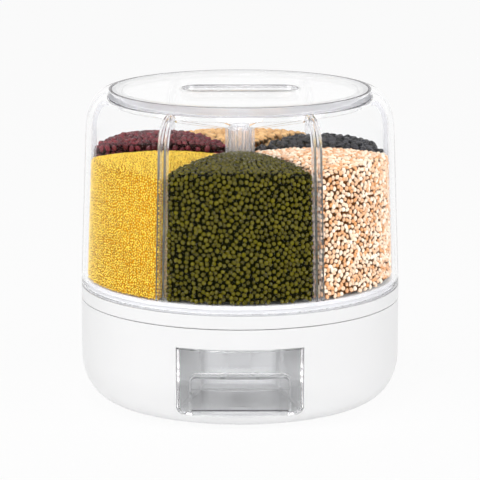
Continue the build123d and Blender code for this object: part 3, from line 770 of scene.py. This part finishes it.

# %% [markdown]
# ### Mouth and rim
# The stepped mouth round the lid gets a grey tint and its top edge a fine dark line, both painted shade.
# Both are picked by place.

# %% Mouth and rim
mouth_low = 236.5
mouth_radius = 101.2
rim_low = 244.2
# Painted shade on the mouth and on the rim's top edge.
finish_faces(drum, mouth_painted_shade, lambda radius, height: radius < mouth_radius and height > mouth_low)
finish_faces(drum, rim_painted_shade, lambda radius, height: radius >= mouth_radius and height > rim_low)
soften_edges(drum, 0.0, angle=35.0)
set_in_place(drum, "rotor", "clear_plastic", None, "barrel")

# %% [markdown]
# ## Lid
# The lid is a clear plate with a ring below it that plugs the mouth. Plate and ring are spun together,
# with the groove that holds the silicone ring.

# %% Lid plate and ring
lid_outline = [
    (0.0, 241.3, 0.0), (92.0, 241.3, 0.8), (92.0, 232.0, 0.5), (94.5, 232.0, 0.5), (94.5, 237.25, 0.2),
    (93.3, 237.25, 0.0), (93.3, 239.85, 0.0), (94.5, 239.85, 0.1), (94.5, 240.3, 0.1), (100.5, 240.3, 0.5),
    (100.5, 244.3, 0.8), (0.0, 244.3, 0.0),
]
lid = spin_outline("clear_lid", rounded(lid_outline), ((360.0, 144),))
print("lid plate has", len(lid.data.polygons), "faces")

# %% [markdown]
# ### Grip
# The lid is lifted by a ridge in an oval hollow. The hollow is a rounded tapered block: a larger one is
# joined on from below, a smaller one is cut out of it, and the ridge is put back.


# %% Grip
def tapered_block(name, length, width, top, depth, corner, draft):
    """A block with rounded upright corners that narrows downwards."""
    piece = block(name, (-length / 2, -width / 2, top - depth), (length / 2, width / 2, top))
    round_edges(piece, lambda a, b: abs(a[2] - b[2]) > 1, corner, 10)
    work_on(piece)
    pick(piece, "vertices", lambda vertex, ends: ends[0][2] < top - depth / 2)
    shrink = 2 * depth * math.tan(math.radians(draft))
    bpy.ops.transform.resize(value=(1 - shrink / length, 1 - shrink / width, 1.0))
    bpy.ops.object.mode_set(mode="OBJECT")
    return piece


bowl = tapered_block("bowl", 95.0, 41.0, 242.8, 8.5, 16.5, 10.0)
round_edges(bowl, lambda a, b: a[2] < 235 and b[2] < 235, 1.2, 3)
combine(lid, bowl, "UNION")
hollow = tapered_block("hollow", 90.3, 36.3, 245.1, 8.3, 14.0, 10.0)
round_edges(hollow, lambda a, b: a[2] < 237 and b[2] < 237, 1.0, 3)
combine(lid, hollow, "DIFFERENCE")
ridge = block("ridge", (-44.3, -3.5, 236.0), (44.3, 3.5, 242.7))
round_edges(ridge, lambda a, b: a[2] > 242 and b[2] > 242, 0.8, 3)
combine(lid, ridge, "UNION")
soften_edges(lid, 0.35, angle=50.0)
print("lid with its grip has", len(lid.data.polygons), "faces")

# %% [markdown]
# ### Edges of the lid
# The photograph shows the lid's outer edge, the hollow's edge and the ridge as dark lines. Their bevelled
# faces are picked by place and slope and get the rim's dark tint, which paints those lines in as shade.


# %% Edges of the lid
def on_lid_edge(face, corners):
    """True for the lid's outer edge, the ridge's top edges and the edge round the hollow."""
    low = min(c[2] for c in corners)
    half_length = max(abs(c[0]) for c in corners)
    half_width = max(abs(c[1]) for c in corners)
    sloped = 0.2 < face.normal.z < 0.95
    outer = min(math.hypot(*c[:2]) for c in corners) > 99.0 and low > 242.5
    ridge_edge = sloped and low > 241.5 and half_width < 4.0
    hollow_edge = sloped and low > 243.7 and half_width < 19.5 and half_length < 47.0
    return outer or ridge_edge or hollow_edge


work_on(lid)
print("faces on the lid's edges:", pick(lid, "polygons", on_lid_edge))
give_finish(lid, lid_plastic, rim_painted_shade)
set_in_place(lid, "lid", "clear_plastic", None, "lid")

# %% [markdown]
# ## Pieces that keep their CAD shape
# The cup, its bay, the panels, the column and the working parts already have their real form in the
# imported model. Their meshes are loose triangles, so each one is copied and merged, and its flat faces
# are joined. The bay keeps its faces, because joining them would close the slot in it. A narrow bevel
# then rounds the sharp edges that a mould or a tool would round.


# %% Helpers: copies of a CAD node
def merged_copy(node, name, join_flat=False):
    """A copy of a CAD node's mesh with its loose triangles merged and, if asked for, flat faces joined."""
    clear_choice()
    piece = bpy.data.objects.new(name, frame["nodes"][node].data.copy())
    bpy.context.scene.collection.objects.link(piece)
    work_on(piece)
    edit_all()
    bpy.ops.mesh.customdata_custom_splitnormals_clear()
    bpy.ops.mesh.remove_doubles(threshold=0.002 * MM)
    if join_flat:
        bpy.ops.mesh.dissolve_limited(angle_limit=math.radians(0.3))
    bpy.ops.object.mode_set(mode="OBJECT")
    return piece


def smooth_copy(node, name, width, join_flat=True):
    """A merged copy with narrow rounded edges."""
    piece = merged_copy(node, name, join_flat)
    soften_edges(piece, width)
    return piece


# %% [markdown]
# ## Cup
# The clear cup stands in the base's opening. Its edge inside, where the front wall meets the floor, is
# rounder than the rest and shows as a grey shadow line, so it is bevelled first and gets the rim's dark
# tint as painted shade.


# %% Cup
def at_front_floor(a, b):
    """True for the edge inside the cup where the front wall meets the floor."""
    return all(abs(c[1] + 111.0) < 0.1 and abs(c[2] - 14.5) < 0.1 for c in (a, b))


def on_front_floor(face, corners):
    """True for the faces of that edge once it is rounded."""
    inside = all(abs(c[0]) < 38.0 for c in corners)
    return inside and all(-112.0 < c[1] < -110.9 and 14.4 < c[2] < 15.5 for c in corners)


cup = smooth_copy("measuring_cup", "clear_cup", 0.0)
round_edges(cup, at_front_floor, 0.9, 3)
soften_edges(cup, 0.35)
work_on(cup)
print("faces on the cup's inner edge:", pick(cup, "polygons", on_front_floor))
give_finish(cup, cup_plastic, rim_painted_shade)
set_in_place(cup, "cup", "clear_plastic", None, "measuring_cup")

# %% [markdown]
# ## Bay and chute
# The cup slides in a white box, and the chute above it leads the grain down. The box's white is a little
# lighter than the base's, which paints light into its shaded inside.

# %% Bay and chute
bay = smooth_copy("cup_bay", "bay_moulding", 0.3, join_flat=False)
set_in_place(bay, "base", "white_plastic", bay_painted_light, "cup_bay")
chute = smooth_copy("outlet_chute", "chute_moulding", 0.3)
set_in_place(chute, "base", "white_plastic", white_plastic, "outlet_chute")

# %% [markdown]
# ## Panels and column
# Six thin panels part the compartments, and a fluted tube in the middle holds their inner edges. The
# flutes of the tube catch the light, so its plastic bends more than the drum's.

# %% Panels and column
for index in range(1, 7):
    panel = smooth_copy(f"partition_{index}", f"clear_panel_{index}", 0.3)
    set_in_place(panel, "rotor", "clear_plastic", clear_plastic, f"partition_{index}")
column = smooth_copy("center_column", "clear_column", 0.25)
set_in_place(column, "rotor", "clear_plastic", column_plastic, "center_column")

# %% [markdown]
# ## Working parts
# The deck, gate, ball race, spindle and fasteners show when the cup is out or the lid is off, and from
# below. They take the same smooth copy, and only their finish differs.

# %% Working parts
for node, name, body, slot, material, width in (
    ("bottom_plate", "bottom_moulding", "base", "white_plastic", white_plastic, 0.3),
    ("outlet_deck", "deck_moulding", "base", "white_plastic", white_plastic, 0.3),
    ("rubber_feet", "foot_pads", "base", "foot_rubber", foot_rubber, 0.3),
    ("bottom_screws", "bottom_fasteners", "base", "steel", plated_steel, 0.15),
    ("deck_screws", "deck_fasteners", "base", "steel", plated_steel, 0.15),
    ("outlet_seal", "outlet_gasket", "base", "silicone", milky_silicone, 0.2),
    ("spindle", "spindle_pin", "base", "steel", plated_steel, 0.3),
    ("spindle_washer", "spindle_disc", "base", "steel", plated_steel, 0.15),
    ("spindle_screw", "spindle_fastener", "base", "steel", plated_steel, 0.15),
    ("spindle_bush", "spindle_sleeve", "rotor", "grey_plastic", grey_plastic, 0.15),
    ("bearing_balls", "race_balls", "ball_race", "steel", plated_steel, 0.0),
    ("ball_cage", "race_cage", "ball_race", "grey_plastic", grey_plastic, 0.15),
    ("gate_slide", "gate_plate", "gate", "grey_plastic", grey_plastic, 0.3),
):
    part = smooth_copy(node, name, width)
    set_in_place(part, body, slot, material, node)

# %% [markdown]
# ## Silicone ring of the lid
# A soft ring in the plug's groove presses on the drum's mouth. Two clear faces in one place flicker in
# a render, so the ring is drawn in by less than a tenth of a millimetre.

# %% Silicone ring of the lid
gasket_inset = 0.08
gasket = smooth_copy("lid_seal", "lid_gasket", 0.15)
edit_all()
bpy.ops.transform.shrink_fatten(value=-gasket_inset * MM)
bpy.ops.object.mode_set(mode="OBJECT")
set_in_place(gasket, "lid", "silicone", clear_silicone, "lid_seal")

# %% [markdown]
# ## Gate springs
# Two thin coil springs push the gate shut. A spring is the plainest use of the Screw modifier: a small
# circle of wire is turned about the spring's axis while it moves along it. The real springs shorten when
# the gate is pressed.


# %% Helper: wind a coil
def wind_coil(name, wire, radius, turns, length):
    """A coil of round wire along the upright axis, with closed ends."""
    clear_choice()
    bpy.ops.mesh.primitive_circle_add(vertices=10, radius=wire, location=(radius, 0.0, 0.0))
    coil = bpy.context.object
    coil.name = name
    bpy.ops.object.transform_apply(location=True)
    edit_all()
    bpy.ops.transform.rotate(value=math.pi / 2, orient_axis="X", center_override=(radius, 0.0, 0.0))
    bpy.ops.object.mode_set(mode="OBJECT")
    winding = coil.modifiers.new("winding", "SCREW")
    winding.axis = "Z"
    winding.angle = 2 * math.pi * turns
    winding.screw_offset = length
    winding.steps = 24 * turns
    winding.render_steps = 24 * turns
    winding.use_merge_vertices = False
    bpy.ops.object.modifier_apply(modifier=winding.name)
    edit_all()
    bpy.ops.mesh.fill_holes(sides=0)
    bpy.ops.mesh.normals_make_consistent(inside=False)
    bpy.ops.object.mode_set(mode="OBJECT")
    return coil


# %% Springs
wire_radius = 0.4 * MM
coil_radius = 3.4 * MM
for name, node in (("spring_coil_left", "gate_spring_left"), ("spring_coil_right", "gate_spring_right")):
    low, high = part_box(node)
    spring = wind_coil(name, wire_radius, coil_radius, 9, high.y - low.y - 2 * wire_radius)
    spring.rotation_euler = (-math.pi / 2, 0.0, 0.0)
    spring.location = ((low.x + high.x) / 2, low.y + wire_radius, (low.z + high.z) / 2)
    set_in_place(spring, "base", "steel", plated_steel, node)
    bpy.ops.object.shade_smooth()
    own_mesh(spring)

# %% [markdown]
# ## A coat for grain
# Every grain differs a little from the next, so each carries a random tone from 0 to 1. A second node
# group turns that tone into a colour between a light and a dark one, with fine speckles on top, and
# gives the roughness and the tiny wrinkles of a dry skin. Little light gets down between seeds, so a
# second value, the height of a point over the core, darkens each seed towards the gaps.

# %% Grain coat: its sockets
coat_tree, coat_in, coat_out = group_with(
    "grain_coat",
    [
        ("Tone", "NodeSocketFloat", 0.5),
        ("Light", "NodeSocketColor", (0.5, 0.5, 0.5, 1.0)),
        ("Dark", "NodeSocketColor", (0.2, 0.2, 0.2, 1.0)),
        ("Speckle", "NodeSocketFloat", 0.3),
        ("Roughness", "NodeSocketFloat", 0.4),
        ("Rise", "NodeSocketFloat", 0.002),
        ("Seed Rise", "NodeSocketFloat", 0.002),
    ],
    [("Color", "NodeSocketColor"), ("Roughness", "NodeSocketFloat"), ("Height", "NodeSocketFloat")],
)
coat_place = coat_tree.nodes.new("ShaderNodeTexCoord").outputs["Object"]
print("grain_coat has its sockets")

# %% [markdown]
# ### Colour of a seed
# A Mix node goes from the dark to the light colour by the seed's tone. A fine noise moves the tone about,
# which gives speckles within one seed.

# %% Grain coat: colour from the tone
speckle_noise = noise_at(coat_tree, coat_place, 900.0, 3.0)
coat_tone = spread_about(coat_tree, coat_in.outputs["Tone"], coat_in.outputs["Speckle"], speckle_noise)
coat_mix = coat_tree.nodes.new("ShaderNodeMix")
coat_mix.data_type = "RGBA"
coat_mix.clamp_factor = True
coat_tree.links.new(coat_tone, coat_mix.inputs["Factor"])
coat_tree.links.new(coat_in.outputs["Dark"], coat_mix.inputs["A"])
coat_tree.links.new(coat_in.outputs["Light"], coat_mix.inputs["B"])
print("colour between dark and light set")

# %% [markdown]
# ### Dark gaps
# A Map Range node takes the height over the core from almost black in the gaps to full colour at the
# seed's rise. Its smooth step keeps the change soft.

# %% Grain coat: dark gaps
gap_light = 0.05
gap_share = 0.15
coat_shade = coat_tree.nodes.new("ShaderNodeMapRange")
coat_shade.interpolation_type = "SMOOTHSTEP"
coat_shade.inputs["To Min"].default_value = gap_light
coat_foot = math_node(coat_tree, "MULTIPLY", coat_in.outputs["Seed Rise"], gap_share)
coat_tree.links.new(coat_foot, coat_shade.inputs["From Min"])
coat_tree.links.new(coat_in.outputs["Rise"], coat_shade.inputs["Value"])
coat_tree.links.new(coat_in.outputs["Seed Rise"], coat_shade.inputs["From Max"])
coat_shaded = coat_tree.nodes.new("ShaderNodeVectorMath")
coat_shaded.operation = "SCALE"
coat_tree.links.new(coat_mix.outputs["Result"], coat_shaded.inputs[0])
coat_tree.links.new(coat_shade.outputs["Result"], coat_shaded.inputs["Scale"])
coat_tree.links.new(coat_shaded.outputs["Vector"], coat_out.inputs["Color"])
print("light left in the gaps:", gap_light)

# %% [markdown]
# ### Gloss and wrinkles
# A dry skin is glossier in one spot than in the next, and finely wrinkled. Two more noises give the
# roughness and the height for a bump.

# %% Grain coat: gloss and wrinkles
husk_noise = noise_at(coat_tree, coat_place, 500.0, 2.0)
husk_gloss = spread_about(coat_tree, coat_in.outputs["Roughness"], 0.2, husk_noise)
coat_tree.links.new(husk_gloss, coat_out.inputs["Roughness"])
coat_tree.links.new(noise_at(coat_tree, coat_place, 1800.0, 2.0), coat_out.inputs["Height"])
print("grain_coat holds", len(coat_tree.nodes), "nodes")

# %% [markdown]
# ### Materials of one kind of grain
# A kind of grain needs two materials: the coat of its seeds, which reads the tone and the height stored on
# them, and a dull dark one for the core that shows between them, painted shade for the seeds that lie in
# shadow under the top ones.


# %% Helpers: grain materials
def grain_coat(name, light, dark, speckle, roughness, rise, shine=0.45):
    """A material for one kind of grain, whose seeds stand a given rise out of their core in millimetres."""
    material, tree, shader = new_material(name)
    nodes, links = tree.nodes, tree.links
    tone = nodes.new("ShaderNodeAttribute")
    tone.attribute_name = "tone"
    coat = nodes.new("ShaderNodeGroup")
    coat.node_tree = coat_tree
    coat.inputs["Light"].default_value = (*light, 1.0)
    coat.inputs["Dark"].default_value = (*dark, 1.0)
    coat.inputs["Speckle"].default_value = speckle
    coat.inputs["Roughness"].default_value = roughness
    coat.inputs["Seed Rise"].default_value = rise * MM
    height = nodes.new("ShaderNodeAttribute")
    height.attribute_name = "height"
    links.new(tone.outputs["Fac"], coat.inputs["Tone"])
    links.new(height.outputs["Fac"], coat.inputs["Rise"])
    links.new(coat.outputs["Color"], shader.inputs["Base Color"])
    links.new(coat.outputs["Roughness"], shader.inputs["Roughness"])
    skin = nodes.new("ShaderNodeBump")
    skin.inputs["Strength"].default_value = 0.3
    skin.inputs["Distance"].default_value = 0.1 * MM
    links.new(coat.outputs["Height"], skin.inputs["Height"])
    links.new(skin.outputs["Normal"], shader.inputs["Normal"])
    shader.inputs["Specular IOR Level"].default_value = shine
    return material


def gap_shade(name, color):
    """The dull dark material of a core: painted shade that shows between the seeds."""
    material = moulded(name, color, 0.5, 0.8, 0.1, 0.2)
    material.node_tree.nodes["Principled BSDF"].inputs["Specular IOR Level"].default_value = 0.0
    return material


# %% [markdown]
# ## Filling a compartment
# Real grain shows as thousands of separate seeds, so a texture on a smooth heap would look painted. The
# CAD fill is copied, remeshed and drawn in by half a seed to make a dark core. Geometry Nodes then
# scatters copies of one seed over the faces that can be seen, no closer than a set distance, each with
# its own turn, size and tone.


# %% Helper: core of a fill
def fill_core(node, name, inset):
    """The CAD fill as an even mesh, drawn in, with its visible faces marked."""
    core = merged_copy(node, name)
    even = core.modifiers.new("even", "REMESH")
    even.mode = "VOXEL"
    even.voxel_size = 2.6 * MM
    bpy.ops.object.modifier_apply(modifier=even.name)
    edit_all()
    bpy.ops.transform.shrink_fatten(value=-inset * MM)
    bpy.ops.object.mode_set(mode="OBJECT")
    shown = core.data.attributes.new("shown", "BOOLEAN", "FACE")
    marks = []
    for face in core.data.polygons:
        near_wall = math.hypot(face.center.x, face.center.y) > 100.0 * MM
        over_neighbours = face.center.z > 160.0 * MM
        marks.append(face.normal.z > 0.3 or ((near_wall or over_neighbours) and face.normal.z > -0.8))
    shown.data.foreach_set("value", marks)
    return core


# %% [markdown]
# ### Scattering
# A Geometry Nodes tree does the pouring. Poisson spots keep the seeds a set distance apart, and every
# random number has a fixed start, so the heap is the same in each run.


# %% Helpers: spots and random numbers
def seed_spots(tree, core, spacing, start):
    """Points on the marked faces of a core, no closer than a spacing in millimetres."""
    shown = tree.nodes.new("GeometryNodeInputNamedAttribute")
    shown.data_type = "BOOLEAN"
    shown.inputs["Name"].default_value = "shown"
    spots = tree.nodes.new("GeometryNodeDistributePointsOnFaces")
    spots.distribute_method = "POISSON"
    spots.inputs["Distance Min"].default_value = spacing * MM
    spots.inputs["Density Max"].default_value = 12.0 / (spacing * MM) ** 2
    spots.inputs["Seed"].default_value = start
    tree.links.new(core, spots.inputs["Mesh"])
    tree.links.new(shown.outputs["Attribute"], spots.inputs["Selection"])
    return spots.outputs["Points"]


def random_turn(tree, start):
    """A random turn about all three axes for each seed."""
    turn = tree.nodes.new("FunctionNodeRandomValue")
    turn.data_type = "FLOAT_VECTOR"
    turn.inputs["Max"].default_value = (2 * math.pi, 2 * math.pi, 2 * math.pi)
    turn.inputs["Seed"].default_value = start
    return turn.outputs[0]


def random_number(tree, low, high, start):
    """A random number between two limits for each seed."""
    number = tree.nodes.new("FunctionNodeRandomValue")
    number.data_type = "FLOAT"
    number.inputs[2].default_value = low
    number.inputs[3].default_value = high
    number.inputs["Seed"].default_value = start
    return number.outputs[1]


# %% [markdown]
# ### Values that stay on the seeds
# The tone is stored once for each seed and the height over the core for each point, under names that
# the grain's material reads. The modifier is applied, so seeds and core end up as one mesh.


# %% Helpers: stored values and pouring
def store_value(tree, geometry, name, domain, value):
    """Keep a number on each seed or point, under a name."""
    keep = tree.nodes.new("GeometryNodeStoreNamedAttribute")
    keep.data_type = "FLOAT"
    keep.domain = domain
    keep.inputs["Name"].default_value = name
    tree.links.new(geometry, keep.inputs["Geometry"])
    tree.links.new(value, keep.inputs["Value"])
    return keep.outputs["Geometry"]


def pour(core, seed, spacing, start):
    """Scatter copies of one seed over a core and make the result one mesh."""
    tree = bpy.data.node_groups.new("pour_" + core.name, "GeometryNodeTree")
    tree.interface.new_socket("Geometry", in_out="INPUT", socket_type="NodeSocketGeometry")
    tree.interface.new_socket("Geometry", in_out="OUTPUT", socket_type="NodeSocketGeometry")
    nodes, links = tree.nodes, tree.links
    whole = nodes.new("NodeGroupInput")
    result = nodes.new("NodeGroupOutput")
    model = nodes.new("GeometryNodeObjectInfo")
    model.inputs["Object"].default_value = seed
    seeds = nodes.new("GeometryNodeInstanceOnPoints")
    links.new(seed_spots(tree, whole.outputs[0], spacing, start), seeds.inputs["Points"])
    links.new(model.outputs["Geometry"], seeds.inputs["Instance"])
    links.new(random_turn(tree, start + 1), seeds.inputs["Rotation"])
    links.new(random_number(tree, 0.93, 1.07, start + 2), seeds.inputs["Scale"])
    tone = random_number(tree, 0.0, 1.0, start + 3)
    toned = store_value(tree, seeds.outputs["Instances"], "tone", "INSTANCE", tone)
    real = nodes.new("GeometryNodeRealizeInstances")
    links.new(toned, real.inputs["Geometry"])
    height = nodes.new("GeometryNodeProximity")
    links.new(whole.outputs[0], height.inputs[0])
    shaded = store_value(tree, real.outputs["Geometry"], "height", "POINT", height.outputs["Distance"])
    both = nodes.new("GeometryNodeJoinGeometry")
    links.new(shaded, both.inputs["Geometry"])
    links.new(whole.outputs[0], both.inputs["Geometry"])
    links.new(both.outputs["Geometry"], result.inputs[0])
    work_on(core)
    scatter = core.modifiers.new("scatter", "NODES")
    scatter.node_group = tree
    bpy.ops.object.modifier_apply(modifier=scatter.name)
    bpy.data.node_groups.remove(tree)
    bpy.data.objects.remove(seed)


# %% [markdown]
# ### One seed
# A seed is a coarse icosphere, drawn out to its length, width and height, and dented where the real one
# has its eye, germ or crease. It is copied thousands of times, so it has only 20 or 80 faces.


# %% Helpers: one seed and a whole fill
def seed_form(name, material, subdivisions, size):
    """A round seed, drawn out to its length, width and height in millimetres."""
    clear_choice()
    bpy.ops.mesh.primitive_ico_sphere_add(subdivisions=subdivisions, radius=0.5)
    seed = bpy.context.object
    seed.name = name
    edit_all()
    bpy.ops.transform.resize(value=tuple(length * MM for length in size))
    bpy.ops.object.mode_set(mode="OBJECT")
    bpy.ops.object.shade_smooth()
    seed.data.materials.append(material)
    return seed


def dent(seed, depth, test):
    """Draw in the points of a seed that pass a test, along its height."""
    work_on(seed)
    count = pick(seed, "vertices", lambda vertex, ends: test(*ends[0]))
    bpy.ops.transform.translate(value=(0.0, 0.0, depth * MM))
    bpy.ops.object.mode_set(mode="OBJECT")
    print(seed.name, "has", count, "points drawn in")


def fill(node, name, seed, core_material, inset, spacing, start):
    """Replace one CAD fill by seeds over a core."""
    core = fill_core(node, name, inset)
    core.data.materials.clear()
    core.data.materials.append(core_material)
    pour(core, seed, spacing, start)
    set_in_place(core, "rotor", node, None, node)


# %% [markdown]
# ## Mung beans
# The front compartment holds small olive beans with a soft gloss and almost black gaps. A bean is an
# icosphere of 80 faces, a little longer than it is wide, with a small dent for its eye.

# %% Mung beans
mung_coat = grain_coat(
    "mung_coat",
    light=(0.080, 0.068, 0.0015),
    dark=(0.038, 0.032, 0.001),
    speckle=0.3,
    roughness=0.13,
    rise=1.9,
    shine=0.2,
)
mung_gap = gap_shade("mung_gap", (0.006, 0.006, 0.002))
mung_seed = seed_form("mung_seed", mung_coat, 2, (4.6, 4.0, 3.9))
dent(mung_seed, 0.35, lambda x, y, z: z < -1.75)
fill("grain_mung", "mung_beans", mung_seed, mung_gap, inset=2.25, spacing=3.2, start=11)

# %% [markdown]
# ## Millet
# Millet is round, yellow and about two millimetres across, so it reads as a fine grit. Twenty faces are
# enough for each grain at that size, one of its points is drawn in where the germ sits, and the core is a
# darker yellow, painted shade for the grains below.

# %% Millet
millet_coat = grain_coat(
    "millet_coat",
    light=(0.88, 0.64, 0.06),
    dark=(0.70, 0.40, 0.02),
    speckle=0.3,
    roughness=0.5,
    rise=0.75,
)
millet_gap = gap_shade("millet_gap", (0.45, 0.2, 0.01))
millet_seed = seed_form("millet_seed", millet_coat, 1, (2.1, 1.95, 1.85))
dent(millet_seed, 0.25, lambda x, y, z: z < -0.85)
fill("grain_millet", "millet_grains", millet_seed, millet_gap, inset=0.8, spacing=1.58, start=23)

# %% [markdown]
# ## Pearl barley
# The pale grain on the right is cream, with brown speckles and gaps. The seed gets a short crease by
# drawing in two points of one side.

# %% Pearl barley
barley_coat = grain_coat(
    "barley_coat",
    light=(0.84, 0.74, 0.61),
    dark=(0.60, 0.27, 0.09),
    speckle=0.9,
    roughness=0.42,
    rise=0.95,
)
barley_gap = gap_shade("barley_gap", (0.09, 0.035, 0.012))
barley_seed = seed_form("barley_seed", barley_coat, 2, (4.5, 3.6, 3.3))
dent(barley_seed, 0.6, lambda x, y, z: abs(y) < 0.1 and z < -1.0)
fill("grain_barley", "barley_grains", barley_seed, barley_gap, inset=2.0, spacing=3.0, start=37)

# %% [markdown]
# ## Adzuki beans
# The three rear compartments hold larger beans, which show over the front heaps and fill the drum's
# rear wall. The first kind is dark red, and longer than it is wide.

# %% Adzuki beans
adzuki_coat = grain_coat(
    "adzuki_coat",
    light=(0.17, 0.025, 0.032),
    dark=(0.06, 0.012, 0.016),
    speckle=0.3,
    roughness=0.25,
    rise=1.6,
    shine=0.25,
)
adzuki_gap = gap_shade("adzuki_gap", (0.015, 0.005, 0.005))
adzuki_seed = seed_form("adzuki_seed", adzuki_coat, 2, (6.2, 4.6, 4.5))
dent(adzuki_seed, 0.4, lambda x, y, z: z < -2.1)
fill("grain_adzuki", "adzuki_beans", adzuki_seed, adzuki_gap, inset=2.2, spacing=4.3, start=41)

# %% [markdown]
# ## Soy beans
# The kind at the back is tan, almost round and duller than its neighbours.

# %% Soy beans
soy_coat = grain_coat(
    "soy_coat",
    light=(0.74, 0.46, 0.20),
    dark=(0.52, 0.27, 0.09),
    speckle=0.3,
    roughness=0.4,
    rise=2.2,
)
soy_gap = gap_shade("soy_gap", (0.14, 0.06, 0.02))
soy_seed = seed_form("soy_seed", soy_coat, 2, (7.0, 6.4, 6.2))
dent(soy_seed, 0.5, lambda x, y, z: z < -2.9)
fill("grain_soy", "soy_beans", soy_seed, soy_gap, inset=3.0, spacing=5.4, start=53)

# %% [markdown]
# ## Black beans
# The last kind is long and nearly black. A white room lies as a veil on anything black and glossy, so
# the shine is low, and the tones of the beans are far apart to keep them separate.

# %% Black beans
black_coat = grain_coat(
    "black_coat",
    light=(0.040, 0.040, 0.046),
    dark=(0.004, 0.004, 0.005),
    speckle=0.3,
    roughness=0.18,
    rise=2.6,
    shine=0.2,
)
black_gap = gap_shade("black_gap", (0.004, 0.004, 0.004))
black_seed = seed_form("black_seed", black_coat, 2, (8.6, 6.4, 6.0))
dent(black_seed, 0.5, lambda x, y, z: z < -2.8)
fill("grain_black_bean", "black_beans", black_seed, black_gap, inset=2.9, spacing=5.8, start=67)
